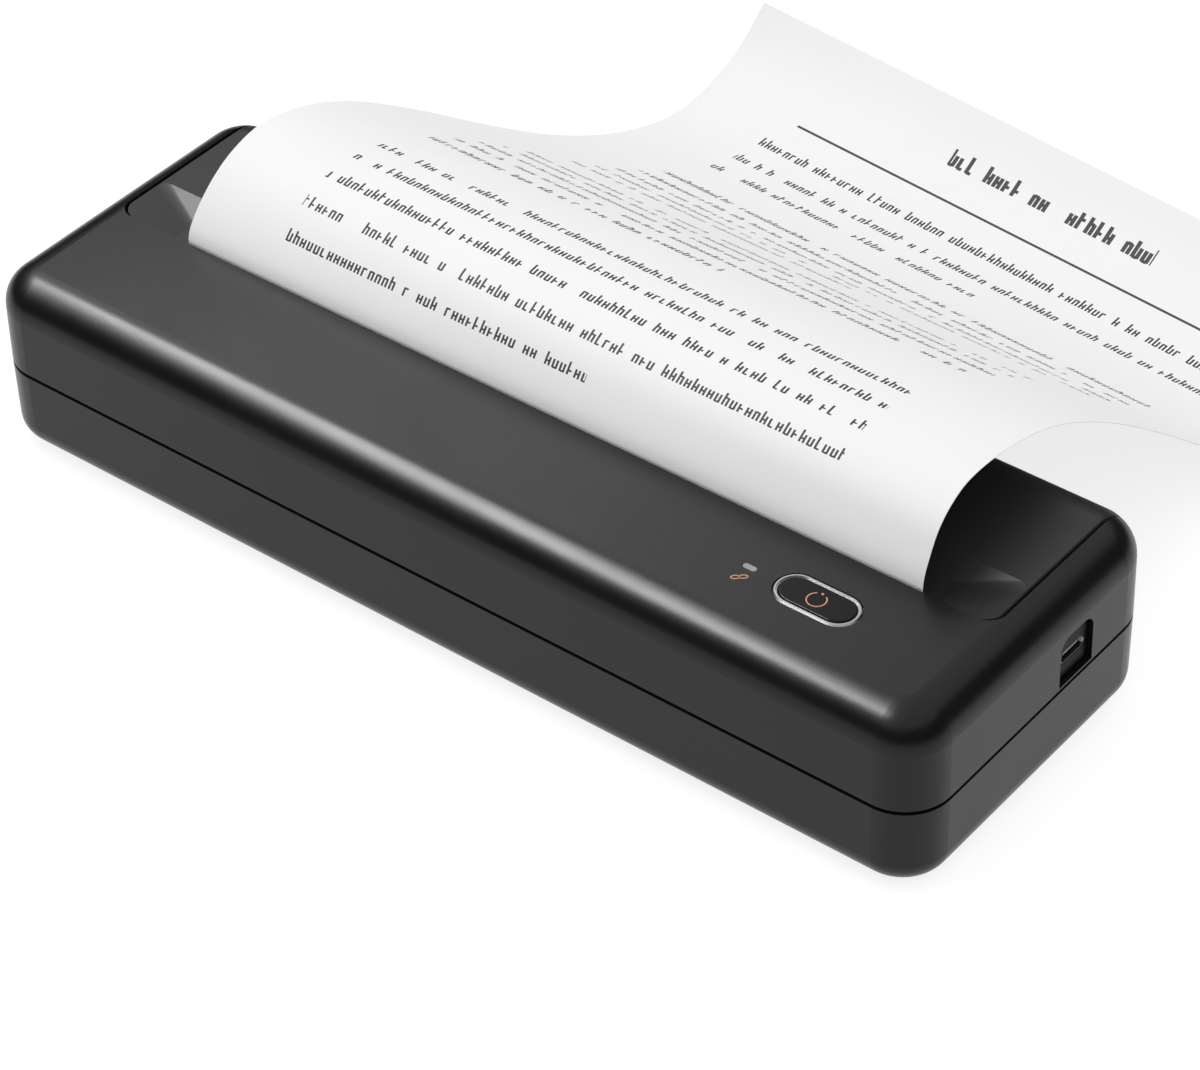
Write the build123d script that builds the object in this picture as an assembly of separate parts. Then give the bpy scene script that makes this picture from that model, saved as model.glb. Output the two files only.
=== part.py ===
from build123d import *
import os
from math import acos, atan2, cos, degrees, hypot, pi, radians, sin, sqrt, tan

# A4 portable thermal printer. Millimetres. +X points to the end with the charging port,
# +Y to the hinged rear, +Z up. The origin is under the middle of the case, on the table.

# ---- paper ----
paper_width = 210.0
paper_offset = 1.8           # the paper lane's centre, to the right of the case's centre
web_thickness = 0.25
paper_roll_radius = 14.2
lead_reach = 200.0           # how far behind the case's centre the sheet's leading edge lies
lead_curl = 18.0             # how high the leading edge curls up from the table

# ---- case ----
case_length = paper_width + 57.0
case_depth = 90.0
case_height = 47.2
foot_drop = 0.8
lower_height = 22.9          # lower shell, up to the parting line
corner_radius = 11.8
top_fillet = 9.2
bottom_fillet = 6.7
draft = 0.5
wall = 2.0
seam = 0.7                   # gap between the cover and the upper shell
groove_height = 1.0          # dark line at the parting plane
tongue_inset = 1.2
tongue_height = 1.2
fit_gap = 0.1

case_top = foot_drop + case_height
parting = foot_drop + lower_height
floor_top = foot_drop + wall
roof = case_top - wall

# ---- roll cover ----
cover_half_width = case_length / 2 - 8.65
cover_front = -6.35
cover_corner = 4.0
cover_wall = 1.6
cover_chamfer = 0.3          # along the cover's top edge
skirt_bottom = 36.0
recess_depth = 3.0
recess_floor_half = cover_half_width - 15.35
recess_top_half = cover_half_width - 0.35
recess_floor_back = 1.9
recess_top_back = 8.4
recess_floor_corner = 2.0
recess_top_corner = 3.2
slot_width = paper_width + 3.0
slot_back = -4.9
slot_corner = 0.8
opening_half = cover_half_width + seam
opening_front = cover_front - seam
flange_wall = 1.5

# ---- cover hinge ----
hinge_y = case_depth / 2 - 3.8
hinge_z = 30.0
barrel_radius = 3.6
barrel_clearance = 0.4
pin_radius = 1.5
pin_in_cover = 4.6
pin_in_shell = 2.4
running = 0.05               # radial clearance of a running fit

# ---- paper roll and tray ----
roll_y = hinge_y - 19.2
roll_z = 24.0
end_cap_radius = 15.2
end_cap_thickness = 1.2
hub_radius = 4.8
hub_bore = 3.75
hub_length = 5.3
core_radius = 7.0
tray_radius = 17.0
tray_wall = 1.5
tray_length = paper_width + 4.8
cradle_wall = 1.8
cradle_top = 33.0
side_gap = 0.2

# ---- platen and thermal head ----
platen_y = -0.6
platen_z = 36.5
platen_radius = 5.0
platen_length = paper_width + 4.0
platen_core = 3.0
platen_shaft_radius = 2.0
nip_gap = 0.3
bush_radius = 3.3
cheek_inner = paper_width / 2 + 4.6    # from the lane's centre
cheek_wall = 1.8
frame_inner = paper_width / 2 + 7.6
frame_wall = 1.2
head_length = paper_width + 6.0
ceramic_thickness = 1.0
heat_sink_thickness = 3.5
head_bottom = 27.0
head_top = 41.5
head_pivot_y = -11.6
head_pivot_z = 24.0
beam_gap = 5.2               # room for the springs behind the head
beam_wall = 1.2

# ---- gear train ----
module = 0.5
pressure = radians(20)
backlash = 0.12
platen_teeth = 24
idler_teeth = 26
reduction_small_teeth = 14
reduction_big_teeth = 44
pinion_teeth = 14
gear_width = 3.6
gear_gap = 1.2               # from the side frame to the inner gears
layer_gap = 0.4
axle_radius = 1.25
motor_shaft_radius = 1.0
motor_y = platen_y - 25.4
motor_z = 15.0
motor_radius = 10.0
motor_length = 15.0

# ---- controls on the front housing ----
button_x = case_length / 2 - 42.3
button_y = cover_front - 15.85
button_length = 19.0
button_width = 8.2
button_travel = 0.5
ring_length = 21.2
ring_width = 10.4
ring_hole_length = 19.2
ring_hole_width = 8.4
control_gap = 0.2
light_x = button_x - 17.65
light_length = 3.4
light_width = 1.5

# ---- boards ----
board_x = (18.0, case_length / 2 - 21.5)
board_y = (3.8 - case_depth / 2, platen_y - 18.0)
board_top = 36.0
board_thickness = 1.6

# ---- charging port ----
port_y = (7.4, 19.9)
port_sill = 0.5              # strip of shell between the opening and the parting plane
port_top = 37.0
port_corner = 3.5
port_recess = 1.2
socket_z = 30.3
socket_width = 8.94
socket_height = 3.16
socket_depth = 7.3
socket_wall = 0.3

# ---- batteries ----
cell_radius = 9.2
cell_length = 65.0
cell_y = 13.6 - case_depth / 2
cell_z = 13.2
cell_gap = 2.0

# ---- feet and screws ----
foot_radius = 5.0
foot_depth = 1.2
foot_place = (case_length / 2 - 25.5, case_depth / 2 - 16.0)
front_screw = (case_length / 2 - 7.5, 11.5 - case_depth / 2)
rear_screw = (case_length / 2 - 5.1, case_depth / 2 - 14.0)
screw_places = [
    (-front_screw[0], front_screw[1]), front_screw, (-rear_screw[0], rear_screw[1]), rear_screw,
    (-78.0, 6.4 - case_depth / 2),
]
screw_radius = 1.0
screw_head_radius = 1.9
screw_head_height = 1.4
boss_radius = 2.8
boss_step = 8.0              # depth of the screw head's well, from the underside

lane_left = paper_offset - paper_width / 2
lane_right = paper_offset + paper_width / 2
left_plate = paper_offset - frame_inner - frame_wall
right_plate = paper_offset + frame_inner
nip_y = platen_y - platen_radius - nip_gap


# ---- shapes used by many pieces ----
def block(x, y, z):
    size = [high - low for low, high in (x, y, z)]
    return Pos(*[(low + high) / 2 for low, high in (x, y, z)]) * Box(*size)


def bar(x, y, z, radius):
    return Pos((x[0] + x[1]) / 2, y, z) * Rot(0, 90, 0) * Cylinder(radius, x[1] - x[0])


def post(x, y, z, radius):
    return Pos(x, y, (z[0] + z[1]) / 2) * Cylinder(radius, z[1] - z[0])


def slab(x, profile):
    """A profile in the Y-Z plane, carried along X."""
    return extrude(Plane.YZ.offset(x[0]) * profile, amount=x[1] - x[0], dir=(1, 0, 0))


def stadium(x, y, length, width, z):
    outline = Pos(x, y) * SlotOverall(length, width)
    return extrude(Plane.XY.offset(z[0]) * outline, amount=z[1] - z[0])


def mirrored_in_lane(solid):
    return mirror(solid, Plane.YZ.offset(paper_offset))


def both_ends(solid):
    """The solid and its twin at the other end of the paper lane."""
    return Compound(children=[solid, mirrored_in_lane(solid)])


def group(solids):
    return Compound(children=list(solids))


def save(name, shape):
    export_step(shape, f"parts/{name}.step")


# ---- case ----
def case_form(inset, height, fillet_radius):
    """Half of the case's outside, or of its hollow, standing on the parting plane."""
    outline = RectangleRounded(
        case_length - 2 * inset, case_depth - 2 * inset, corner_radius - inset
    )
    form = extrude(outline, height - inset, taper=draft)
    rim = form.faces().sort_by(Axis.Z)[-1].edges()
    return fillet(rim, fillet_radius - inset)


def upper_form(inset):
    return Pos(0, 0, parting) * case_form(inset, case_top - parting, top_fillet)


def lower_form(inset):
    return Pos(0, 0, parting) * mirror(case_form(inset, lower_height, bottom_fillet), Plane.XY)


def cover_outline(half_width, front, corner):
    """The cover's plan, open towards the rear, as a tall prism."""
    back = case_depth
    plan = Pos(0, (front + back) / 2) * Rectangle(2 * half_width, back - front)
    prism = extrude(Plane.XY * plan, amount=2 * case_top)
    front_edges = prism.edges().filter_by(Axis.Z).sort_by(Axis.Y)[:2]
    return fillet(front_edges, corner)


def cover_envelope():
    """The prism the roll cover fits in, chamfered where it meets the top of the case."""
    shoulder = case_top - cover_chamfer
    prism = cover_outline(cover_half_width, cover_front, cover_corner)
    below = prism & block((-case_length, case_length), (-case_depth, 2 * case_depth), (0, shoulder))
    bevel = extrude(below.faces().sort_by(Axis.Z)[-1], 2 * cover_chamfer, taper=45)
    return below + bevel


def port_hole(margin, x):
    """The charging port's opening: flat at the bottom, round at its two top corners."""
    y0, y1 = port_y[0] + margin, port_y[1] - margin
    hole = block(x, (y0, y1), (parting + port_sill + margin, port_top - margin))
    top_edges = hole.edges().filter_by(Axis.X).sort_by(Axis.Z)[2:]
    return fillet(top_edges, port_corner - margin)


def make_upper_shell():
    shell = upper_form(0) - upper_form(wall)
    rebate_top = parting + tongue_height + 2 * fit_gap
    rebate = upper_form(tongue_inset - fit_gap) & block(
        (-case_length, case_length), (-case_depth, case_depth), (parting - 1, rebate_top)
    )
    shell -= rebate
    sill_top = hinge_z - barrel_radius - barrel_clearance
    opening = cover_outline(opening_half, opening_front, cover_corner + seam)
    shell -= opening & block(
        (-case_length, case_length), (opening_front, case_depth), (sill_top, 2 * case_top)
    )
    lip = block(
        (-opening_half, opening_half),
        (opening_front - flange_wall, opening_front),
        (roof - 2.5, roof + 0.5),
    )
    flange = block(
        (opening_half, opening_half + flange_wall),
        (opening_front - flange_wall, hinge_y - barrel_radius),
        (parting + 3.0, roof + 0.5),
    )
    port_window = block(
        (opening_half - 1, opening_half + flange_wall + 1),
        (port_y[0] - 4.2, port_y[1] + 4.2),
        (parting, socket_z + socket_height / 2 + 0.8),
    )
    shell += (lip - opening) + (flange - port_window) + mirror(flange, Plane.YZ)
    ear = block(
        (opening_half, opening_half + 4.2),
        (hinge_y - barrel_radius, case_depth / 2 - 1.0),
        (hinge_z - barrel_radius, hinge_z + barrel_radius),
    )
    ear &= upper_form(wall / 2)
    shell += ear + mirror(ear, Plane.YZ)
    pin_bore = bar(
        (opening_half - 1, cover_half_width + pin_in_shell + fit_gap), hinge_y, hinge_z, pin_radius + running
    )
    shell -= pin_bore
    shell -= mirror(pin_bore, Plane.YZ)
    for x, y in screw_places:
        boss = post(x, y, (parting + tongue_height, roof + 1), boss_radius)
        pilot = post(x, y, (parting - 1, parting + 12), screw_radius + running)
        shell += boss & upper_form(wall / 2)
        shell -= pilot
    for x, y in board_post_places():
        shell += post(x, y, (board_top, roof + 0.5), 2.6)
        shell -= post(x, y, (board_top - 1, board_top + 7), screw_radius + running)
    for x in (-90.0, -60.0, -30.0):
        rib = block((x, x + 1.4), (-case_depth / 2, opening_front - flange_wall), (roof - 3.5, roof + 1))
        shell += rib & upper_form(wall / 2)
    shell -= stadium(
        button_x, button_y, ring_length + 2 * control_gap, ring_width + 2 * control_gap, (roof - 1, case_top + 1)
    )
    shell -= stadium(
        light_x, button_y, light_length + control_gap, light_width + control_gap, (roof - 1, case_top + 1)
    )
    return shell - port_hole(0, (case_length / 2 - 6, case_length / 2 + 1))


def make_lower_shell():
    shell = lower_form(0) - lower_form(wall)
    groove = block(
        (-case_length, case_length), (-case_depth, case_depth), (parting - groove_height, parting + 1)
    )
    shell -= groove
    tongue_outer = RectangleRounded(
        case_length - 2 * tongue_inset, case_depth - 2 * tongue_inset, corner_radius - tongue_inset
    )
    tongue_inner = RectangleRounded(
        case_length - 2 * wall - 0.2, case_depth - 2 * wall - 0.2, corner_radius - wall
    )
    tongue_base = parting - groove_height - 0.4
    shell += extrude(
        Plane.XY.offset(tongue_base) * (tongue_outer - tongue_inner),
        amount=parting + tongue_height - tongue_base,
    )
    shell -= block(
        (case_length / 2 - 5, case_length / 2 + 1),
        (port_y[0] - 1.2, port_y[1] + 1.2),
        (parting, parting + 4),
    )
    for x, y in screw_places:
        shell += post(x, y, (foot_drop + 0.5, parting - 0.3), boss_radius) & lower_form(0.5)
        shell += post(x, y, (parting - 1.0, parting + tongue_height - 0.2), boss_radius - 1.0)
        shell -= post(x, y, (0, parting + 4), screw_radius + running)
        shell -= post(x, y, (0, foot_drop + boss_step), screw_head_radius + 0.2)
    for x in (-1, 1):
        for y in (-1, 1):
            shell -= post(
                x * foot_place[0], y * foot_place[1], (0, foot_drop + foot_depth), foot_radius + fit_gap
            )
    for x in cell_saddles():
        saddle = block((x - 0.75, x + 0.75), (cell_y - 8.6, cell_y + 8.6), (floor_top - 0.5, cell_z - 1.5))
        shell += (saddle - bar((x - 2, x + 2), cell_y, cell_z, cell_radius + 0.3)) & lower_form(0.8)
    for x, y in port_board_posts():
        shell += post(x, y, (floor_top - 0.5, port_board_top() - 1.2), 2.4)
        shell -= post(x, y, (floor_top + 12, port_board_top()), screw_radius + running)
    for x, y in frame_screw_places():
        shell -= post(x, y, (floor_top - 1.3, floor_top + 1), screw_radius + running)
    return shell


def make_feet():
    pads = []
    for x in (-1, 1):
        for y in (-1, 1):
            pad = post(x * foot_place[0], y * foot_place[1], (0, foot_drop + foot_depth - 0.02), foot_radius)
            pads.append(chamfer(pad.edges().sort_by(Axis.Z)[0], 0.3))
    return group(pads)


def machine_screw(x, y, head_bottom, tip, direction=1):
    """A pan-head screw along Z, its head at head_bottom, its tip at tip."""
    head_top = head_bottom + direction * screw_head_height
    head = post(x, y, sorted((head_bottom, head_top)), screw_head_radius)
    shank = post(x, y, sorted((head_top, tip)), screw_radius)
    drive = post(x, y, sorted((head_bottom - direction, head_bottom + direction * 0.9)), 0.9)
    return head + shank - drive


def make_case_screws():
    head_bottom = foot_drop + boss_step - screw_head_height
    return group(machine_screw(x, y, head_bottom, parting + 10) for x, y in screw_places)


# ---- roll cover ----
def recess_form(inset):
    """The wedge-sided hollow along the cover's front, grown by a wall when inset is given."""
    slope = 1.15 * inset
    low = case_top - recess_depth - inset
    high = case_top + 0.5
    rise = (high - low) / recess_depth
    floor_half = recess_floor_half + slope
    floor_back = recess_floor_back + slope
    top_half = floor_half + rise * (recess_top_half - recess_floor_half)
    top_back = floor_back + rise * (recess_top_back - recess_floor_back)
    front = -4 * case_depth

    def plan(half_width, back, corner, z):
        outline = Pos(0, (front + back) / 2) * RectangleRounded(2 * half_width, back - front, corner)
        return Plane.XY.offset(z) * outline

    return loft([
        plan(floor_half, floor_back, recess_floor_corner, low), plan(top_half, top_back, recess_top_corner, high),
    ])


def make_roll_cover():
    outside = upper_form(0) & cover_envelope()
    outside &= block((-case_length, case_length), (-case_depth, case_depth), (hinge_z, case_top + 1))
    hollow = upper_form(wall) & cover_outline(
        cover_half_width - cover_wall, cover_front + cover_wall, cover_corner - cover_wall
    )
    cover = outside - (hollow - recess_form(cover_wall)) - recess_form(0)
    under = hinge_y - barrel_radius
    cover -= block((-case_length, case_length), (-case_depth, under - 2), (0, skirt_bottom))
    inner_half = cover_half_width - cover_wall
    front_face = block(
        (-inner_half, inner_half),
        (cover_front - 1, cover_front + cover_wall + 0.1),
        (0, case_top - recess_depth - cover_wall),
    )
    cover -= front_face
    slot_half = slot_width / 2
    slot = block(
        (paper_offset - slot_half, paper_offset + slot_half), (cover_front - 1, slot_back), (skirt_bottom, case_top)
    )
    cover -= fillet(slot.edges().filter_by(Axis.Z).sort_by(Axis.Y)[-2:], slot_corner)
    barrel = bar((-cover_half_width, cover_half_width), hinge_y, hinge_z, barrel_radius)
    cover += barrel
    for x in (-70.0, 0.0, 70.0):
        rib = block((x - 0.8, x + 0.8), (15.6, case_depth / 2 - 1), (roof - 5.0, roof + 0.5))
        cover += rib & upper_form(wall / 2)
    for x in carrier_screw_places():
        cover += post(x, carrier_screw_y(), (carrier_top(), roof + 0.5), 2.6)
        cover -= post(x, carrier_screw_y(), (carrier_top() - 1, roof - 0.2), 1.0 + running)
    bore = bar(
        (cover_half_width - pin_in_cover - fit_gap, cover_half_width + 1), hinge_y, hinge_z, pin_radius + running
    )
    return cover - bore - mirror(bore, Plane.YZ)


def make_hinge_pins():
    pin = bar(
        (cover_half_width - pin_in_cover, cover_half_width + pin_in_shell), hinge_y, hinge_z, pin_radius
    )
    return group([pin, mirror(pin, Plane.YZ)])


# ---- platen carrier, on the cover ----
def carrier_top():
    return case_top - recess_depth - cover_wall - 0.3


def carrier_screw_y():
    return recess_top_back + 3.4


def carrier_screw_places():
    return [paper_offset - 80.0, paper_offset, paper_offset + 80.0]


def make_platen_carrier():
    inner, outer = cheek_inner, cheek_inner + cheek_wall
    top = carrier_top()
    profile = Polygon(
        (platen_y - 4.6, platen_z - 3.0), (platen_y - 2.6, platen_z - 5.0), (platen_y + 4.0, platen_z - 5.0),
        (platen_y + 8.0, platen_z - 1.5), (platen_y + 8.0, top), (platen_y - 4.6, top), align=None,
    )
    cheek = slab((paper_offset + inner, paper_offset + outer), profile)
    cheek -= bar(
        (paper_offset + inner - 1, paper_offset + outer + 1), platen_y, platen_z, bush_radius + running
    )
    lane = (paper_offset - inner - 0.1, paper_offset + inner + 0.1)
    web_y = platen_y + platen_radius + 1.2
    channel = block(lane, (web_y, web_y + 1.2), (platen_z - 1.5, top))
    channel += block(lane, (web_y, carrier_screw_y() + 3.2), (top - 1.2, top))
    carrier = channel + cheek + mirrored_in_lane(cheek)
    for x in carrier_screw_places():
        carrier -= post(x, carrier_screw_y(), (top - 2, top + 1), 1.0 + 3 * running)
    return carrier


def make_carrier_screws():
    top = carrier_top()
    screws = []
    for x in carrier_screw_places():
        head = post(x, carrier_screw_y(), (top - 2.5, top - 1.2), 1.9)
        shank = post(x, carrier_screw_y(), (top - 1.2, top + 2.2), 1.0)
        screws.append(head + shank)
    return group(screws)


def make_platen_bushes():
    start = paper_offset + cheek_inner
    bush = bar((start - 0.7, start), platen_y, platen_z, bush_radius + 0.9)
    bush += bar((start, paper_offset + frame_inner + frame_wall), platen_y, platen_z, bush_radius)
    bush -= bar((start - 2, start + 12), platen_y, platen_z, platen_shaft_radius + running)
    return both_ends(bush)


# ---- platen ----
def make_platen_shaft():
    right = paper_offset + frame_inner + frame_wall + 1.4
    shaft = bar((gear_inner_face() - gear_width - 0.9, right), platen_y, platen_z, platen_shaft_radius)
    half = platen_length / 2 + 1.2
    core = bar((paper_offset - half, paper_offset + half), platen_y, platen_z, platen_core)
    return shaft + core


def make_platen_rubber():
    half = platen_length / 2
    sleeve = bar((paper_offset - half, paper_offset + half), platen_y, platen_z, platen_radius)
    sleeve = chamfer(sleeve.edges().filter_by(GeomType.CIRCLE), 0.3)
    return sleeve - bar((paper_offset - half - 1, paper_offset + half + 1), platen_y, platen_z, platen_core)


# ---- gears ----
def involute(angle):
    return tan(angle) - angle


def spur_outline(teeth, phase):
    """A spur gear's outline: three points on each flank, from root to tip."""
    pitch_radius = module * teeth / 2
    base_radius = pitch_radius * cos(pressure)
    half_tooth = pi / (2 * teeth) - backlash / (2 * pitch_radius)
    radii = [pitch_radius - 1.2 * module, pitch_radius, pitch_radius + 0.9 * module]
    flank = []
    for radius in radii:
        at = acos(min(1.0, base_radius / radius))
        flank.append((radius, half_tooth + involute(pressure) - involute(at)))
    points = []
    for tooth in range(teeth):
        middle = phase + 2 * pi * tooth / teeth
        rising = [(radius, middle - angle) for radius, angle in flank]
        falling = [(radius, middle + angle) for radius, angle in reversed(flank)]
        points += [(radius * cos(a), radius * sin(a)) for radius, a in rising + falling]
    return Polygon(*points, align=None)


def spur(teeth, phase, x, y, z, bore):
    gear = slab(x, Pos(y, z) * (spur_outline(teeth, phase) - Circle(bore)))
    return gear


def pitch_distance(teeth_a, teeth_b):
    return module * (teeth_a + teeth_b) / 2


def meshed_phase(teeth_a, phase_a, centre_a, teeth_b, centre_b):
    """The phase at which gear b's gap takes gear a's tooth, on the line of centres."""
    line = atan2(centre_b[1] - centre_a[1], centre_b[0] - centre_a[0])
    return line + pi - (phase_a - line) * teeth_a / teeth_b + pi / teeth_b


def gear_inner_face():
    return left_plate - gear_gap


def outer_layer():
    inner = gear_inner_face() - gear_width - layer_gap
    return (inner - 3.0, inner)


platen_centre = (platen_y, platen_z)
idler_bearing = radians(255)   # from the platen down to the idler
idler_centre = (
    platen_y + pitch_distance(platen_teeth, idler_teeth) * cos(idler_bearing),
    platen_z + pitch_distance(platen_teeth, idler_teeth) * sin(idler_bearing),
)
motor_centre = (motor_y, motor_z)


def reduction_centre():
    """Where the compound gear meshes with both the motor's pinion and the idler."""
    to_motor = pitch_distance(pinion_teeth, reduction_big_teeth)
    to_idler = pitch_distance(reduction_small_teeth, idler_teeth)
    dy, dz = idler_centre[0] - motor_y, idler_centre[1] - motor_z
    apart = hypot(dy, dz)
    along = (to_motor**2 - to_idler**2 + apart**2) / (2 * apart)
    off = sqrt(to_motor**2 - along**2)
    return (
        motor_y + (dy * along + dz * off) / apart,
        motor_z + (dz * along - dy * off) / apart,
    )


reduction_at = reduction_centre()
platen_phase = 0.0
idler_phase = meshed_phase(platen_teeth, platen_phase, platen_centre, idler_teeth, idler_centre)
reduction_phase = meshed_phase(
    idler_teeth, idler_phase, idler_centre, reduction_small_teeth, reduction_at
)
pinion_phase = meshed_phase(
    reduction_big_teeth, reduction_phase, reduction_at, pinion_teeth, motor_centre
)


def make_platen_gear():
    face = gear_inner_face()
    gear = spur(platen_teeth, platen_phase, (face - gear_width, face), *platen_centre, platen_shaft_radius)
    return gear


def make_idler_gear():
    face = gear_inner_face()
    gear = spur(idler_teeth, idler_phase, (face - gear_width, face), *idler_centre, axle_radius + running)
    hub = bar((face - 0.1, left_plate - 0.2), *idler_centre, 2.6)
    return gear + (hub - bar((face - 5, left_plate), *idler_centre, axle_radius + running))


def make_reduction_gear():
    low, high = outer_layer()
    face = gear_inner_face()
    big = spur(reduction_big_teeth, reduction_phase, (low, high), *reduction_at, axle_radius + running)
    ring = bar((low - 1, low + 0.8), *reduction_at, 8.4) - bar((low - 2, low + 2), *reduction_at, 4.0)
    small = spur(
        reduction_small_teeth, reduction_phase, (high - 0.1, face), *reduction_at, axle_radius + running
    )
    return big - ring + small


def make_motor_pinion():
    low, high = outer_layer()
    return spur(pinion_teeth, pinion_phase, (low - 0.3, high + 0.3), *motor_centre, motor_shaft_radius)


def make_motor_shaft():
    low = outer_layer()[0]
    return bar((low - 1.2, left_plate + frame_wall + motor_length + 1.5), *motor_centre, motor_shaft_radius)


def make_gear_axles():
    plate_face = left_plate + frame_wall
    idler_end = gear_inner_face() - gear_width - 0.1
    reduction_end = outer_layer()[0] - 1.6
    idler = bar((idler_end, plate_face), *idler_centre, axle_radius)
    reduction = bar((reduction_end, plate_face), *reduction_at, axle_radius)
    return group([idler, reduction])


def retaining_ring(x, centre, shaft_radius):
    profile = Circle(shaft_radius + 1.3) - Circle(shaft_radius)
    profile -= Pos(0, -shaft_radius - 1) * Rectangle(shaft_radius * 1.4, 2 * shaft_radius)
    return slab((x, x + 0.5), Pos(*centre) * profile)


def make_platen_rings():
    left = retaining_ring(gear_inner_face() - gear_width - 0.5, platen_centre, platen_shaft_radius)
    right = retaining_ring(
        paper_offset + frame_inner + frame_wall + 0.2, platen_centre, platen_shaft_radius
    )
    return group([left, right])


def make_axle_ring():
    return retaining_ring(outer_layer()[0] - 0.7, reduction_at, axle_radius)


# ---- side frames and what they carry ----
def frame_outline():
    slot_radius = bush_radius + 0.25
    top = carrier_top() - 0.7
    lean = (top - platen_z) * tan(radians(22))
    plate = Polygon(
        (motor_y - 11.0, 6.0), (motor_y - 8.0, floor_top + 0.2), (11.0, floor_top + 0.2), (11.0, 30.0), (8.6, top),
        (-15.0, top), (-19.0, 33.0), (motor_y - 8.0, 29.0), (motor_y - 11.0, 25.0), align=None,
    )
    mouth = Polygon(
        (platen_y - slot_radius, platen_z), (platen_y + slot_radius, platen_z),
        (platen_y + slot_radius + lean, top + 1), (platen_y - slot_radius, top + 1), align=None,
    )
    return plate - mouth - Pos(platen_y, platen_z) * Circle(slot_radius)


def frame_foot(x):
    return block(x, (-14.0, 5.5), (floor_top + 0.2, floor_top + 1.4))


def frame_screw_places():
    left, right = left_plate + frame_wall + 4.5, right_plate - 4.5
    return [(left, -10.0), (left, 2.0), (right, -10.0), (right, 2.0)]


def make_side_frame(left):
    x = (left_plate, left_plate + frame_wall) if left else (right_plate, right_plate + frame_wall)
    frame = slab(x, frame_outline())
    foot_x = (x[0], x[0] + 9.0) if left else (x[1] - 9.0, x[1])
    frame += frame_foot(foot_x)
    wide = (x[0] - 1, x[1] + 1)
    frame -= bar(wide, head_pivot_y, head_pivot_z, pin_radius)
    if not left:
        frame -= bar(wide, *port_lead_crossing, 2.2)
    if left:
        frame -= bar(wide, *motor_centre, motor_shaft_radius + 2.5)
        frame -= bar(wide, *idler_centre, axle_radius)
        frame -= bar(wide, *reduction_at, axle_radius)
    for sx, sy in frame_screw_places():
        frame -= post(sx, sy, (floor_top - 1, floor_top + 3), screw_radius + running)
    return frame


def make_frame_screws():
    seat = floor_top + 1.4
    return group(
        post(x, y, (seat, seat + 1.4), screw_head_radius) + post(x, y, (floor_top - 1.2, seat), screw_radius)
        for x, y in frame_screw_places()
    )


def make_pivot_shaft():
    return bar((left_plate - 0.6, right_plate + frame_wall + 0.6), head_pivot_y, head_pivot_z, pin_radius)


def head_face():
    return nip_y - web_thickness - nip_gap


def sink_back():
    return head_face() - ceramic_thickness - heat_sink_thickness


def spring_places():
    return [paper_offset + step for step in (-84.0, -28.0, 28.0, 84.0)]


def make_head_beam():
    inner_left, inner_right = left_plate + frame_wall, right_plate
    front = sink_back() - beam_gap
    beam = block((inner_left, inner_right), (front - beam_wall, front), (head_bottom, head_top - 1))
    beam += block((inner_left, inner_right), (front - beam_wall, front + 1.6), (head_bottom - 1.2, head_bottom))
    for x in spring_places():
        beam += Pos(x, front + 0.9, platen_z) * Rot(90, 0, 0) * Cylinder(1.2, 2.0)
    return beam


def make_head_springs():
    radius, wire, gap = 1.9, 0.28, 0.1
    length = beam_gap - 2 * (wire + gap)
    coil = Helix(pitch=length / 4, height=length, radius=radius)
    start = Plane(origin=coil @ 0, z_dir=coil % 0)
    spring = sweep(start * Circle(wire), path=coil, is_frenet=True)
    back = sink_back() - wire - gap
    return group(
        Pos(x, back, platen_z) * Rot(90, 0, 0) * spring for x in spring_places()
    )


def make_heat_sink():
    half = head_length / 2
    lane = (paper_offset - half, paper_offset + half)
    back, front = sink_back(), sink_back() + heat_sink_thickness
    sink = block(lane, (back, front), (head_bottom, head_top + 0.6))
    for z in (29.5, 31.5, 33.5):
        sink -= block((lane[0] - 1, lane[1] + 1), (back - 1, back + 1.2), (z - 0.5, z + 0.5))
    for side in (-1, 1):
        x = paper_offset + side * 92.0
        lug = block((x - 3, x + 3), (head_pivot_y - 2.6, head_pivot_y + 2.6), (head_pivot_z, head_bottom + 0.1))
        lug += bar((x - 3, x + 3), head_pivot_y, head_pivot_z, 2.6)
        sink += lug - bar((x - 4, x + 4), head_pivot_y, head_pivot_z, pin_radius + running)
    return sink


def make_heater_board():
    half = head_length / 2 - 1
    front = head_face()
    lane = (paper_offset - half, paper_offset + half)
    return block(lane, (front - ceramic_thickness, front), (platen_z - 4.5, head_top))


def make_driver_cover():
    half = head_length / 2 - 6
    front = head_face()
    top = platen_z - 5.0
    profile = Polygon(
        (front - ceramic_thickness, head_bottom + 0.4), (front - 0.2, head_bottom + 0.4), (front, top - 1.2),
        (front - 0.5, top), (front - ceramic_thickness, top), align=None,
    )
    return slab((paper_offset - half, paper_offset + half), profile)


# ---- paper path ----
def web_tangent():
    """Bearing from each centre to the web's straight run, which touches roll and platen from below."""
    dy, dz = platen_y - roll_y, platen_z - roll_z
    reach = (paper_roll_radius + nip_gap) - (platen_radius + nip_gap)
    return atan2(dz, dy) + acos(reach / hypot(dy, dz))


def web_points(extra):
    """Ends of the straight run, both pushed away from the rollers by extra."""
    bearing = web_tangent()
    roll_reach = paper_roll_radius + nip_gap + extra
    platen_reach = platen_radius + nip_gap + extra
    return (
        (roll_y + roll_reach * cos(bearing), roll_z + roll_reach * sin(bearing)),
        (platen_y + platen_reach * cos(bearing), platen_z + platen_reach * sin(bearing)),
    )


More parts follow.
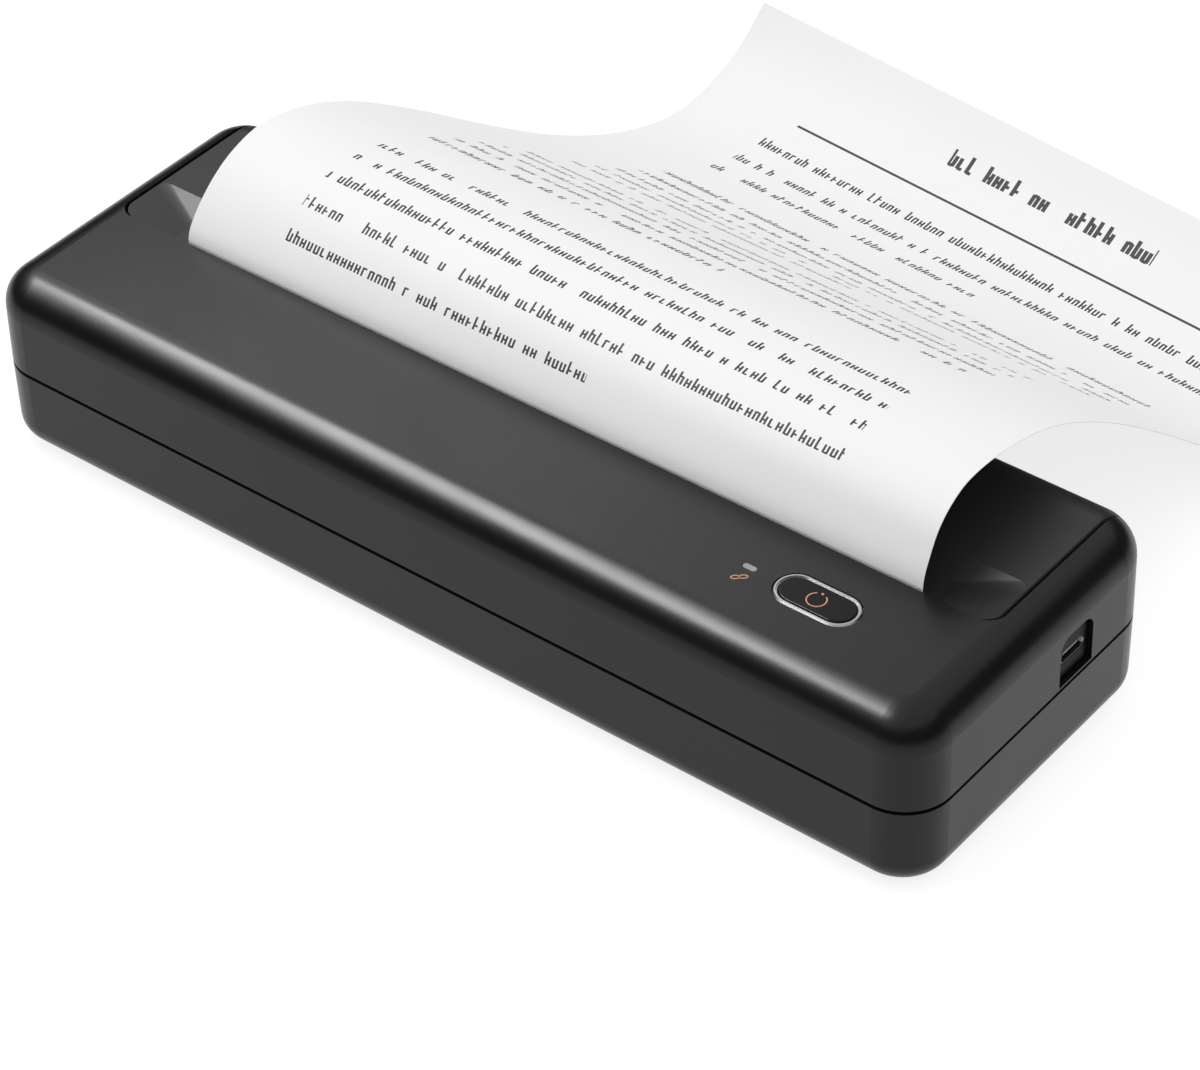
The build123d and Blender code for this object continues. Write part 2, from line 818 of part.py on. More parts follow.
def make_paper_web():
    near_start, near_end = web_points(0)
    far_start, far_end = web_points(web_thickness)
    bearing = web_tangent()
    half_way = (bearing + pi) / 2

    def on_platen(reach, angle):
        return (platen_y + reach * cos(angle), platen_z + reach * sin(angle))

    near, far = platen_radius + nip_gap, platen_radius + nip_gap + web_thickness
    top = case_top + 0.3
    outline = [
        Line(near_start, near_end),
        ThreePointArc(near_end, on_platen(near, half_way), on_platen(near, pi)),
        Line(on_platen(near, pi), (platen_y - near, top)),
        Line((platen_y - near, top), (platen_y - far, top)),
        Line((platen_y - far, top), on_platen(far, pi)),
        ThreePointArc(on_platen(far, pi), on_platen(far, half_way), far_end),
        Line(far_end, far_start),
        Line(far_start, near_start),
    ]
    return slab((lane_left + side_gap, lane_right - side_gap), make_face(Wire(outline)))


def strip_outline(points, radii, thickness):
    """A strip's edge-on outline: a route of straight runs and arcs, and its twin on the left of it."""
    runs = [Vector(*b) - Vector(*a) for a, b in zip(points, points[1:])]
    normals = [Vector(-run.Y, run.X).normalized() for run in runs]
    twin = [Vector(*points[0]) + normals[0] * thickness]
    twin_radii = []
    for point, before, after, radius in zip(points[1:-1], normals, normals[1:], radii):
        middle = (before + after).normalized()
        twin.append(Vector(*point) + middle * (thickness / middle.dot(before)))
        turns_left = before.X * after.Y - before.Y * after.X > 0
        twin_radii.append(radius - thickness if turns_left else radius + thickness)
    twin.append(Vector(*points[-1]) + normals[-1] * thickness)
    near = FilletPolyline(*points, radius=radii)
    far = FilletPolyline(*twin, radius=twin_radii)
    ends = [Line(points[0], twin[0]), Line(points[-1], twin[-1])]
    return make_face(Wire([*near.edges(), *far.edges(), *ends]))


def make_paper_sheet():
    slot = (nip_y - web_thickness, case_top + 0.5)
    landing = [(lead_reach - 52.0, 0.1), (lead_reach - 26.0, 0.1)]
    route = [slot, (4.0, 67.0), (42.0, 67.0), *landing, (lead_reach, lead_curl)]
    return slab((lane_left, lane_right), strip_outline(route, [20.0, 60.0, 36.0, 36.0], web_thickness))


def make_paper_guide():
    start, end = web_points(1.6)
    low_start, low_end = web_points(2.8)
    along = ((end[0] - start[0]), (end[1] - start[1]))

    def part_way(point, share):
        return (point[0] + along[0] * share, point[1] + along[1] * share)

    top, bottom = part_way(start, 0.80), part_way(start, 0.02)
    low_top, low_bottom = part_way(low_start, 0.80), part_way(low_start, 0.06)
    plate = Polygon(top, bottom, low_bottom, low_top, align=None)
    leg = Polygon(
        (low_bottom[0] - 0.3, low_bottom[1]), bottom, (bottom[0], floor_top + 0.1),
        (low_bottom[0] - 0.3, floor_top + 0.1), align=None,
    )
    half = cheek_inner + cheek_wall
    guide = slab((paper_offset - half, paper_offset + half), plate + leg)
    sensor_hole = slab(sensor_span(0.15), sensor_outline(0.15))
    return guide - sensor_hole


def sensor_span(margin):
    return (paper_offset + 40.0 - margin, paper_offset + 45.0 + margin)


def sensor_outline(margin):
    """The sensor's section, square to the paper run, set into the guide half way along it."""
    bearing = web_tangent()
    start, end = web_points(3.0)
    middle = ((start[0] + end[0]) / 2, (start[1] + end[1]) / 2)
    return Pos(*middle) * Rot(0, 0, degrees(bearing)) * Rectangle(3.4 + 2 * margin, 4.0 + 2 * margin)


def make_paper_sensor():
    return slab(sensor_span(0), sensor_outline(0))


def make_paper_roll():
    lane = (lane_left + side_gap, lane_right - side_gap)
    roll = bar(lane, roll_y, roll_z, paper_roll_radius)
    return roll - bar((lane[0] - 1, lane[1] + 1), roll_y, roll_z, core_radius)


def make_roll_core():
    lane = (lane_left + side_gap, lane_right - side_gap)
    core = bar(lane, roll_y, roll_z, core_radius)
    return core - bar((lane[0] - 1, lane[1] + 1), roll_y, roll_z, hub_radius)


def make_end_cap(left):
    start = lane_right + side_gap
    stop = start + end_cap_thickness
    cap = bar((start, stop), roll_y, roll_z, end_cap_radius)
    cap = chamfer(cap.edges().filter_by(GeomType.CIRCLE), 0.25)
    cap += bar((start - 12.0, stop + hub_length), roll_y, roll_z, hub_radius - 0.02)
    cap += bar((stop, stop + 0.6), roll_y, roll_z, hub_radius + 1.6)
    cap -= bar((start - 13.0, stop + hub_length + 1), roll_y, roll_z, hub_bore)
    return mirrored_in_lane(cap) if left else cap


def make_roll_tray():
    half = tray_length / 2
    lane = (paper_offset - half, paper_offset + half)
    outer = tray_radius + tray_wall
    ring = Circle(outer) - Circle(tray_radius)
    keep = Polygon(
        (0, 0), (-60 * cos(radians(50)), -60 * sin(radians(50))), (-38, -60), (60, -60),
        (60, 0), align=None,
    )
    front_y = roll_y - outer * cos(radians(50))
    front_z = roll_z - tray_radius * sin(radians(50))
    trough = slab(lane, Pos(roll_y, roll_z) * (ring & keep))
    front_wall = block(lane, (front_y + 0.6, front_y + 0.6 + tray_wall), (floor_top + 0.1, front_z + 0.6))
    tray = trough + front_wall
    rib_profile = Pos(roll_y, (floor_top + 0.1 + 9.5) / 2) * Rectangle(20, 9.5 - floor_top - 0.1)
    rib_profile -= Pos(roll_y, roll_z) * Circle(tray_radius + 0.5)
    end_rib = half - 7.4
    for share in (-1.0, -0.5, 0.0, 0.5, 1.0):
        x = paper_offset + share * end_rib
        tray += slab((x - 0.8, x + 0.8), rib_profile)
    end_profile = Polygon(
        (front_y + 0.6, floor_top + 0.1), (roll_y + 13.0, floor_top + 0.1), (roll_y + outer - 0.4, roll_z - 6),
        (roll_y + outer - 0.4, hinge_z - barrel_radius - 3.6), (roll_y + 13.0, cradle_top), (front_y + 0.6, cradle_top),
        align=None,
    )
    slot_radius = hub_radius + 0.25
    slot = Pos(roll_y, roll_z) * Circle(slot_radius)
    slot += Pos(roll_y, roll_z + 10) * Rectangle(2 * slot_radius, 20)
    end_wall = slab((lane[1] - 0.1, lane[1] + cradle_wall), end_profile - slot)
    return tray + end_wall + mirrored_in_lane(end_wall)


def make_bay_deck(left):
    """The moulded lid over the end space beside the roll tray; on the right it clears the port board."""
    inner = tray_length / 2 + 0.2
    edge = cover_half_width - cover_wall - 0.8
    under = cradle_top + fit_gap
    top = under + 1.2
    x = (-edge, paper_offset - inner) if left else (paper_offset + inner, edge)
    y = (12.4, hinge_y - barrel_radius - 1.2)
    skirt_end = floor_top + 0.2 if left else under - 1.0
    deck = block(x, y, (under, top))
    beside = (x[0], x[1] - cradle_wall - 0.4) if left else (x[0] + cradle_wall + 0.4, x[1])
    deck += block(beside, (y[0], y[0] + 1.2), (cradle_top - 12.0 if left else under - 1.0, top))
    side = (x[0], x[0] + 1.2) if left else (x[1] - 1.2, x[1])
    return deck + block(side, y, (skirt_end, top))


# ---- motor ----
def make_drive_motor():
    face = left_plate + frame_wall
    can = bar((face, face + motor_length), *motor_centre, motor_radius)
    can = fillet(can.edges().filter_by(GeomType.CIRCLE).sort_by(Axis.X)[-1], 1.0)
    can += bar((face + motor_length - 0.1, face + motor_length + 0.8), *motor_centre, 3.0)
    ears = slab((face, face + 0.8), Pos(*motor_centre) * Rot(0, 0, 90) * SlotOverall(23.6, 6.0))
    collar = bar((left_plate - 0.6, face + 0.1), *motor_centre, motor_shaft_radius + 2.4)
    motor = can + ears + collar
    return motor - bar((left_plate - 2, face + motor_length + 3), *motor_centre, motor_shaft_radius + running)


# ---- boards ----
def board_post_places():
    return [(board_x[0] + 4, board_y[0] + 4.5), (board_x[0] + 4, board_y[1] - 4),
            (board_x[1] - 5, board_y[0] + 4.5), (board_x[1] - 46, board_y[0] + 4.5)]


def make_main_board():
    board = block(board_x, board_y, (board_top - board_thickness, board_top))
    for x, y in board_post_places():
        board -= post(x, y, (board_top - 3, board_top + 1), screw_radius + running)
    return board


def make_board_screws():
    seat = board_top - board_thickness
    screws = [
        post(x, y, (seat - 1.4, seat), screw_head_radius) + post(x, y, (seat, board_top + 4.5), screw_radius)
        for x, y in board_post_places()
    ]
    seat = port_board_top()
    screws += [
        post(x, y, (seat, seat + 1.4), screw_head_radius) + post(x, y, (seat - 6, seat), screw_radius)
        for x, y in port_board_posts()
    ]
    return group(screws)


def make_board_chips():
    under = board_top - board_thickness
    chips = [
        block((38, 48), (-34, -24), (board_top, board_top + 1.2)),
        block((54, 61), (-30, -25), (board_top, board_top + 1.0)),
        block((board_x[1] - 36, board_x[1] - 28), (board_y[0] + 4.2, board_y[0] + 9.2), (board_top, board_top + 1.4)),
        block((28, 34), (-33, -27), (board_top, board_top + 3.0)),
        block((light_x - 1.6, light_x + 1.6), (button_y - 0.8, button_y + 0.8), (board_top, board_top + 1.0)),
        post(board_x[1] - 12.0, board_y[0] + 6.2, (board_top, board_top + 5.0), 2.5),
        block((50, 66), (-24.0, -20.0), (under - 1.5, under)),
    ]
    return group(chips)


def make_board_connectors():
    under = board_top - board_thickness
    front = (board_y[0] + 1.0, board_y[0] + 5.2)
    return group([
        block((26, 34), front, (under - 4.2, under)),
        block((board_x[1] - 28, board_x[1] - 18), front, (under - 4.2, under)),
        block((board_x[1] - 12, board_x[1] - 4), (button_y - 5.8, button_y - 0.8), (under - 4.2, under)),
    ])


def make_tact_switch():
    body = block((button_x - 3, button_x + 3), (button_y - 3, button_y + 3), (board_top, board_top + 3.5))
    return body + post(button_x, button_y, (board_top + 3.4, board_top + 4.4), 1.75)


def make_button_ring():
    ring = stadium(button_x, button_y, ring_length, ring_width, (roof - 0.5, case_top + 0.15))
    ring = chamfer(ring.edges().group_by(Axis.Z)[-1], 0.35)
    ring += stadium(button_x, button_y, ring_length + 2.4, ring_width + 2.4, (roof - 1.0, roof))
    hole = stadium(button_x, button_y, ring_hole_length, ring_hole_width, (roof - 2, case_top + 1))
    mouth = stadium(button_x, button_y, ring_hole_length + 0.6, ring_hole_width + 0.6, (case_top - 0.15, case_top + 1))
    return ring - hole - mouth


def make_power_button():
    cap = stadium(button_x, button_y, button_length, button_width, (roof - 1.4, case_top + 0.25))
    cap = fillet(cap.edges().group_by(Axis.Z)[-1], 0.5)
    cap += stadium(button_x, button_y, ring_hole_length + 1.6, ring_hole_width + 1.6, (roof - 2.4, roof - 1.2))
    plunger_end = board_top + 4.4 + button_travel + 0.1
    return cap + post(button_x, button_y, (plunger_end, roof - 2.2), 1.5)


def make_status_light():
    pipe = stadium(light_x, button_y, light_length, light_width, (board_top + 1.3, case_top))
    return pipe + stadium(light_x, button_y, light_length + 1.6, light_width + 1.6, (roof - 0.9, roof - 0.02))


def make_head_ribbon():
    """Flat cable from the head's connector to the board, in a hanging loop."""
    under = board_top - board_thickness - 1.5
    start = sink_back() + 2.3
    route = [
        (start, head_bottom - 3.1), (start - 0.6, 20.0), (-18.9, 20.0), (-19.6, 27.0), (button_y + 0.4, under - 0.1),
    ]
    return slab((51.0, 65.0), strip_outline(route, [3.0, 3.0, 6.0], 0.3))


def make_head_connector():
    back = sink_back()
    return block((50.0, 66.0), (back + 1.2, back + 3.4), (head_bottom - 3.0, head_bottom))


# ---- charging port ----
port_lead_crossing = (-24.0, 15.0)   # where the port's lead passes through the right side frame


def port_board_top():
    return socket_z - socket_height / 2


def port_board_posts():
    return [(case_length / 2 - 13.1, port_y[0] - 0.4), (case_length / 2 - 13.1, port_y[1] + 0.4)]


def port_middle():
    return (port_y[0] + port_y[1]) / 2


def port_faces():
    outer = case_length / 2
    return outer - wall - 0.15, outer - port_recess


def socket_opening(length, height, x):
    profile = Pos(port_middle(), socket_z) * SlotOverall(length, height)
    return slab(x, profile)


def make_port_bezel():
    inner, face = port_faces()
    plate = block((inner - 1.2, inner), (port_y[0] - 1.4, port_y[1] + 1.4), (parting + 0.4, port_top + 1.4))
    bezel = plate + port_hole(0.2, (inner - 0.1, face))
    return bezel - socket_opening(socket_width + 0.3, socket_height + 0.3, (inner - 3, face + 1))


def make_charging_socket():
    face = port_faces()[1] - 0.1
    x = (face - socket_depth, face)
    shell = socket_opening(socket_width, socket_height, x)
    hollow = (face - socket_depth + 1.0, face + 1)
    shell -= socket_opening(socket_width - 2 * socket_wall, socket_height - 2 * socket_wall, hollow)
    tongue_y = (port_middle() - 3.3, port_middle() + 3.3)
    tongue = block((x[0] + 0.9, face - 0.8), tongue_y, (socket_z - 0.35, socket_z + 0.35))
    return shell + tongue


def make_port_board():
    top = port_board_top()
    inner = port_faces()[0]
    board = block((case_length / 2 - 16.5, inner - 1.3), (port_y[0] - 3.4, port_y[1] + 3.4), (top - 1.2, top))
    for x, y in port_board_posts():
        board -= post(x, y, (top - 3, top + 1), screw_radius + running)
    return board


# ---- batteries and leads ----
def cell_starts():
    return (-cell_length - cell_gap / 2, cell_gap / 2)


def cell_saddles():
    return [start + share * cell_length for start in cell_starts() for share in (0.2, 0.8)]


def make_battery_cells():
    cells = []
    for start in cell_starts():
        cell = bar((start, start + cell_length - 1.0), cell_y, cell_z, cell_radius)
        cell = fillet(cell.edges().filter_by(GeomType.CIRCLE), 0.8)
        cells.append(cell + bar((start, start + cell_length), cell_y, cell_z, 3.0))
    return group(cells)


def lead(points, radius, bend):
    route = FilletPolyline(*points, radius=bend)
    section = Plane(origin=route @ 0, z_dir=route % 0) * Circle(radius)
    return sweep(section, path=route)


def make_battery_lead():
    end = cell_starts()[1] + cell_length + 0.1
    plug = board_top - board_thickness - 4.3
    wires = []
    lane = board_y[0] + 3.1
    for side in (-1, 1):
        turn = board_x[1] - 24.0 + 1.5 * side
        wires.append(lead([
            (end, cell_y + 1.2 * side, cell_z), (end + 9, cell_y + 1.2 * side, cell_z),
            (turn - 2.0, lane + 1.1, 17.0), (turn, lane, 24.0), (turn, lane, plug),
        ], 0.7, 2.6))
    return group(wires)


def make_port_lead():
    plug = board_top - board_thickness - 4.3
    under = port_board_top() - 1.3
    cross_y, cross_z = port_lead_crossing
    outer, inner = case_length / 2 - 9.5, board_x[1] - 8.0
    end_y = button_y - 3.3
    return lead([
        (outer, port_middle(), under), (outer, port_middle(), 20.0), (outer, -4.0, cross_z),
        (outer, cross_y, cross_z), (inner + 2.0, cross_y, cross_z), (inner, end_y, 22.0), (inner, end_y, plug),
    ], 1.0, 2.6)


def make_motor_lead():
    end = left_plate + frame_wall + motor_length + 0.2
    plug = board_top - board_thickness - 4.3
    lane, front = board_y[0] + 8.2, board_y[0] + 3.1
    return lead([
        (end, motor_y - 4.0, motor_z + 5.0), (end + 7, motor_y - 4.0, motor_z + 5.0),
        (end + 22.0, lane, 26.0), (-40.0, lane, 26.4), (4.0, lane, 26.0), (30.0, front, 23.4), (30.0, front, plug),
    ], 1.1, 2.0)


PARTS = {
    "lower_shell": make_lower_shell,
    "upper_shell": make_upper_shell,
    "roll_cover": make_roll_cover,
    "hinge_pins": make_hinge_pins,
    "rubber_feet": make_feet,
    "case_screws": make_case_screws,
    "roll_tray": make_roll_tray,
    "left_bay_deck": lambda: make_bay_deck(True),
    "right_bay_deck": lambda: make_bay_deck(False),
    "left_side_frame": lambda: make_side_frame(True),
    "right_side_frame": lambda: make_side_frame(False),
    "frame_screws": make_frame_screws,
    "head_beam": make_head_beam,
    "head_pivot_shaft": make_pivot_shaft,
    "head_springs": make_head_springs,
    "head_heat_sink": make_heat_sink,
    "heater_board": make_heater_board,
    "driver_cover": make_driver_cover,
    "head_connector": make_head_connector,
    "head_ribbon": make_head_ribbon,
    "platen_carrier": make_platen_carrier,
    "carrier_screws": make_carrier_screws,
    "platen_bushes": make_platen_bushes,
    "platen_shaft": make_platen_shaft,
    "platen_rubber": make_platen_rubber,
    "platen_gear": make_platen_gear,
    "platen_rings": make_platen_rings,
    "idler_gear": make_idler_gear,
    "reduction_gear": make_reduction_gear,
    "gear_axles": make_gear_axles,
    "axle_ring": make_axle_ring,
    "drive_motor": make_drive_motor,
    "motor_shaft": make_motor_shaft,
    "motor_pinion": make_motor_pinion,
    "paper_roll": make_paper_roll,
    "roll_core": make_roll_core,
    "left_end_cap": lambda: make_end_cap(True),
    "right_end_cap": lambda: make_end_cap(False),
    "paper_web": make_paper_web,
    "paper_sheet": make_paper_sheet,
    "paper_guide": make_paper_guide,
    "paper_sensor": make_paper_sensor,
    "power_button": make_power_button,
    "button_ring": make_button_ring,
    "status_light": make_status_light,
    "tact_switch": make_tact_switch,
    "main_board": make_main_board,
    "board_chips": make_board_chips,
    "board_connectors": make_board_connectors,
    "board_screws": make_board_screws,
    "port_bezel": make_port_bezel,
    "charging_socket": make_charging_socket,
    "port_board": make_port_board,
    "battery_cells": make_battery_cells,
    "battery_lead": make_battery_lead,
    "port_lead": make_port_lead,
    "motor_lead": make_motor_lead,
}

os.makedirs("parts", exist_ok=True)
for part_name, make in PARTS.items():
    save(part_name, make())
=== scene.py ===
from math import cos, pi, radians, sin

import bmesh
import bpy
from mathutils import Euler, Matrix, Vector


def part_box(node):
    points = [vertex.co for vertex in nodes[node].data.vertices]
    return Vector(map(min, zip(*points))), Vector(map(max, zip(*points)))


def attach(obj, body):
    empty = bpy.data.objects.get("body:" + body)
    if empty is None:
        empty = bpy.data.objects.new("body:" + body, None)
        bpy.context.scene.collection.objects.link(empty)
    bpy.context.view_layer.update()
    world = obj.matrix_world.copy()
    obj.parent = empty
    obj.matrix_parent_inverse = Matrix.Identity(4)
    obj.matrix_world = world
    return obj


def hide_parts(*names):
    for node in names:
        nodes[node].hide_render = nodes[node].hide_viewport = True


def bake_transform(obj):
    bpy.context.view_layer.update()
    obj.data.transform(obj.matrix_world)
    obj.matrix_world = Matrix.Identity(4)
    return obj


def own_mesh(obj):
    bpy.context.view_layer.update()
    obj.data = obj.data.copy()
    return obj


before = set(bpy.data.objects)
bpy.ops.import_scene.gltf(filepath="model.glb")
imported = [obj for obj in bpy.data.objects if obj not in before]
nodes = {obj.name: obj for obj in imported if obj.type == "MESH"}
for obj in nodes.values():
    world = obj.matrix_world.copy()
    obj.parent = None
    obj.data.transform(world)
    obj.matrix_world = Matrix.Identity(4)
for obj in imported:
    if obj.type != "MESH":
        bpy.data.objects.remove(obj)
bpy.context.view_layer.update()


# ---- the view ----
# A portrait lens above the front right corner, tipped down by forty degrees,
# and turned a little so that the printer's long side runs across the picture.
def shown(name, data):
    """An object that shows the data, linked to the scene."""
    made = bpy.data.objects.new(name, data)
    bpy.context.scene.collection.objects.link(made)
    return made


azimuth, elevation, roll = radians(39.48), radians(39.953), radians(-1.799)
view_target, view_distance = Vector((0.014386, 0.0, 0.012339)), 0.932736
backward = Vector((sin(azimuth) * cos(elevation), -cos(azimuth) * cos(elevation), sin(elevation)))
level = (-backward).cross(Vector((0, 0, 1))).normalized()
upright = level.cross(-backward)
view_right = level * cos(roll) + upright * sin(roll)
view_up = upright * cos(roll) - level * sin(roll)
lens = bpy.data.cameras.new("portrait_lens")
lens.lens, lens.sensor_width, lens.clip_start, lens.clip_end = 122.855, 36.0, 0.05, 20.0
camera = shown("camera", lens)
camera.matrix_world = Matrix.Translation(view_target + backward * view_distance) @ Matrix(
    (view_right, view_up, backward)
).transposed().to_4x4()
bpy.context.scene.camera = camera


# ---- lower shell ----
# The bottom half of the case, a deep tray moulded in charcoal ABS with a fine
# spark-eroded skin. Everything else is screwed, clipped or laid into it.
def fill(tree, made, sockets):
    """Links or sets a node's input sockets."""
    for key, value in dict(sockets).items():
        if isinstance(value, bpy.types.NodeSocket):
            tree.links.new(value, made.inputs[key])
        else:
            made.inputs[key].default_value = value


def place(tree, kind, sockets=(), **settings):
    """A new node with its choices and its sockets set."""
    made = tree.nodes.new("ShaderNode" + kind)
    for key, value in settings.items():
        setattr(made, key, value)
    fill(tree, made, sockets)
    return made


def maths(tree, operation, *values, clamp=False):
    sockets = dict(enumerate(values))
    return place(tree, "Math", sockets, operation=operation, use_clamp=clamp).outputs[0]


def blended(tree, share, first, second):
    """A colour between two, each given as a colour or as a socket."""
    first, second = ((*end, 1) if isinstance(end, tuple) else end for end in (first, second))
    return place(tree, "Mix", {0: share, 6: first, 7: second}, data_type="RGBA").outputs[2]


def spread(tree, value, low, high):
    """A value from 0 to 1, laid between low and high."""
    return place(tree, "MapRange", {0: value, 3: low, 4: high}).outputs[0]


def within(tree, value, low, high):
    """Where a value lies between low and high, from 0 to 1."""
    return place(tree, "MapRange", {0: value, 1: low, 2: high}).outputs[0]


def object_place(tree):
    return place(tree, "TexCoord").outputs["Object"]


def noise(tree, where, scale, **more):
    return place(tree, "TexNoise", {"Vector": where, "Scale": scale, **more}).outputs[0]


def effect(name, inputs, outputs):
    """A new shader node group with named inputs and outputs."""
    tree = bpy.data.node_groups.new(name, "ShaderNodeTree")
    for label, value in inputs.items():
        socket = tree.interface.new_socket(label, in_out="INPUT", socket_type="NodeSocketFloat")
        socket.default_value = value
    for label in outputs:
        tree.interface.new_socket(label, in_out="OUTPUT", socket_type="NodeSocketFloat")
    given, out = tree.nodes.new("NodeGroupInput").outputs, tree.nodes.new("NodeGroupOutput").inputs
    return tree, given, out


def use(tree, group, sockets=()):
    made = tree.nodes.new("ShaderNodeGroup")
    made.node_tree = group
    fill(tree, made, sockets)
    return made.outputs


def spark_eroded_skin():
    """Fine pebbled mould texture, with the faint cloudiness that handling leaves."""
    tree, given, out = effect(
        "spark_eroded_skin", {"Grain per metre": 2600.0}, ("Height", "Cloud", "Speck")
    )
    where = object_place(tree)
    pebbles = place(tree, "TexVoronoi", {"Vector": where, "Scale": given[0]}, feature="SMOOTH_F1")
    fine = noise(tree, where, maths(tree, "MULTIPLY", given[0], 2.1))
    height = maths(tree, "MULTIPLY", pebbles.outputs["Distance"], 0.7)
    tree.links.new(maths(tree, "ADD", height, fine), out["Height"])
    tree.links.new(noise(tree, where, 38.0, Detail=3.0, Roughness=0.6), out["Cloud"])
    tree.links.new(within(tree, fine, 0.35, 0.7), out["Speck"])
    return tree


def edge_highlight_and_wear():
    """A mask of outside edges, found from how far a rounded normal leans away. On plastics it
    paints a highlight along the edges. On steel it paints that highlight and the paler metal of
    rubbed edges.
    """
    tree, given, out = effect("edge_highlight_and_wear", {"Width": 0.0004, "Patchiness": 0.5}, ("Mask",))
    rounded = place(tree, "Bevel", {"Radius": given[0]}, samples=4).outputs[0]
    straight = place(tree, "NewGeometry").outputs["Normal"]
    leaning = place(
        tree, "VectorMath", {0: rounded, 1: straight}, operation="DOT_PRODUCT"
    ).outputs["Value"]
    patches = noise(tree, object_place(tree), 160.0, Detail=3.0)
    kept = maths(tree, "SUBTRACT", 1.0, maths(tree, "MULTIPLY", patches, given[1]))
    edge = within(tree, leaning, 0.995, 0.86)
    tree.links.new(maths(tree, "MULTIPLY", edge, kept, clamp=True), out["Mask"])
    return tree


skin = spark_eroded_skin()
# The edge mask paints a pale highlight along edges, and on steel also the bare metal of rubbed
# edges.
edges = edge_highlight_and_wear()


def shader_of(name, **sockets):
    """A new material, its node tree and its shader, with the shader's plain values set."""
    material = bpy.data.materials.new(name)
    material.use_nodes = True
    shader = material.node_tree.nodes["Principled BSDF"]
    for key, value in sockets.items():
        shader.inputs[key.replace("_", " ")].default_value = value
    return material, material.node_tree, shader.inputs


def lay(tree, shader, colour, height, depth, rough=None):
    """Gives the shader its colour, its bump, with a depth in metres, and its roughness."""
    tree.links.new(colour, shader["Base Color"])
    raised = place(tree, "Bump", {"Height": height, "Distance": depth, "Strength": 1.0})
    tree.links.new(raised.outputs[0], shader["Normal"])
    if rough is not None:
        tree.links.new(rough, shader["Roughness"])


def toned(colour, share, rise=0.0):
    return tuple(part * share + rise for part in colour)


def moulded_plastic(name, colour, rough, grain=2600.0, depth=0.00001, edge_highlight=0.35, gloss_level=0.5):
    """Moulded plastic: grained, a little cloudy in its gloss, with a highlight painted paler along
    its edges.
    """
    material, tree, shader = shader_of(name, IOR=1.5, Specular_IOR_Level=gloss_level)
    grained = use(tree, skin, {"Grain per metre": grain})
    highlight_and_wear_mask = use(tree, edges)["Mask"]
    speck = maths(tree, "MULTIPLY", grained["Speck"], 0.5)
    body = blended(tree, speck, colour, toned(colour, 1.35))
    # The edges are painted paler: a painted highlight.
    highlight_and_wear_share = maths(tree, "MULTIPLY", highlight_and_wear_mask, edge_highlight)
    gloss = spread(tree, grained["Cloud"], rough - 0.05, rough + 0.05)
    lay(
        tree, shader, blended(tree, highlight_and_wear_share, body, toned(colour, 1.6, 0.012)),
        grained["Height"], depth,
        rough=maths(tree, "SUBTRACT", gloss, maths(tree, "MULTIPLY", highlight_and_wear_mask, 0.08)),
    )
    return material


def dress(material, *names):
    for name in names:
        nodes[name].material_slots[0].material = material


charcoal = moulded_plastic("charcoal_abs", (0.0056, 0.0050, 0.0048), 0.30, gloss_level=0.26)
dress(charcoal, "lower_shell")


# ---- rubber feet ----
# Four round pads of black rubber, each pushed into a shallow pocket under the
# lower shell and held by glue.
def rubber(name, colour, rough, line_axis=None):
    """Rubber: dull, dusty in its pores, with grinding lines where a wheel has trued it."""
    material, tree, shader = shader_of(name, IOR=1.52)
    where = object_place(tree)
    pores = noise(tree, where, 3200.0, Detail=3.0)
    dust = within(tree, noise(tree, where, 240.0, Detail=4.0), 0.45, 0.8)
    height = pores
    if line_axis:
        ground = place(
            tree, "TexWave",
            {"Vector": where, "Scale": 420.0, "Distortion": 1.5, "Detail": 2.0},
            bands_direction=line_axis,
        ).outputs["Fac"]
        height = maths(tree, "ADD", pores, maths(tree, "MULTIPLY", ground, 0.6))
    lay(
        tree, shader, blended(tree, dust, colour, toned(colour, 2.2, 0.01)), height, 0.00003,
        rough=spread(tree, pores, rough - 0.08, rough + 0.08),
    )
    return material


dress(rubber("foot_rubber_black", (0.018, 0.018, 0.018), 0.82), "rubber_feet")


# ---- upper shell ----
# The top half of the case, moulded in the same charcoal ABS. It drops over the
# lower shell's tongue and leaves a thin dark line between the two.
dress(charcoal, "upper_shell")


# ---- roll tray ----
# A trough of plain black ABS that holds the paper roll, with a cradle at each
# end for the roll's hubs. It rests on ribs in the lower shell.
inner_black = moulded_plastic(
    "tray_abs", (0.012, 0.012, 0.013), 0.46, grain=1500.0, depth=0.00002
)
dress(inner_black, "roll_tray", "left_bay_deck", "right_bay_deck")


# ---- side frames and head beam ----
# Bent zinc-plated steel. Two side frames carry the gears and the platen's open
# slots, and the beam between them holds the head's springs.
def rolled_grain():
    """Long fine scratches from rolling, along X, with the soft bloom of zinc plate."""
    tree, given, out = effect("rolled_grain", {"Lines per metre": 900.0}, ("Scratch", "Bloom"))
    where = object_place(tree)
    drawn = place(tree, "Mapping", {"Vector": where, "Scale": (0.06, 1.0, 1.0)}).outputs[0]
    bloom = place(tree, "TexVoronoi", {"Vector": where, "Scale": 260.0}, feature="SMOOTH_F1")
    tree.links.new(noise(tree, drawn, given[0], Detail=4.0), out["Scratch"])
    tree.links.new(bloom.outputs["Distance"], out["Bloom"])
    return tree


rolled = rolled_grain()


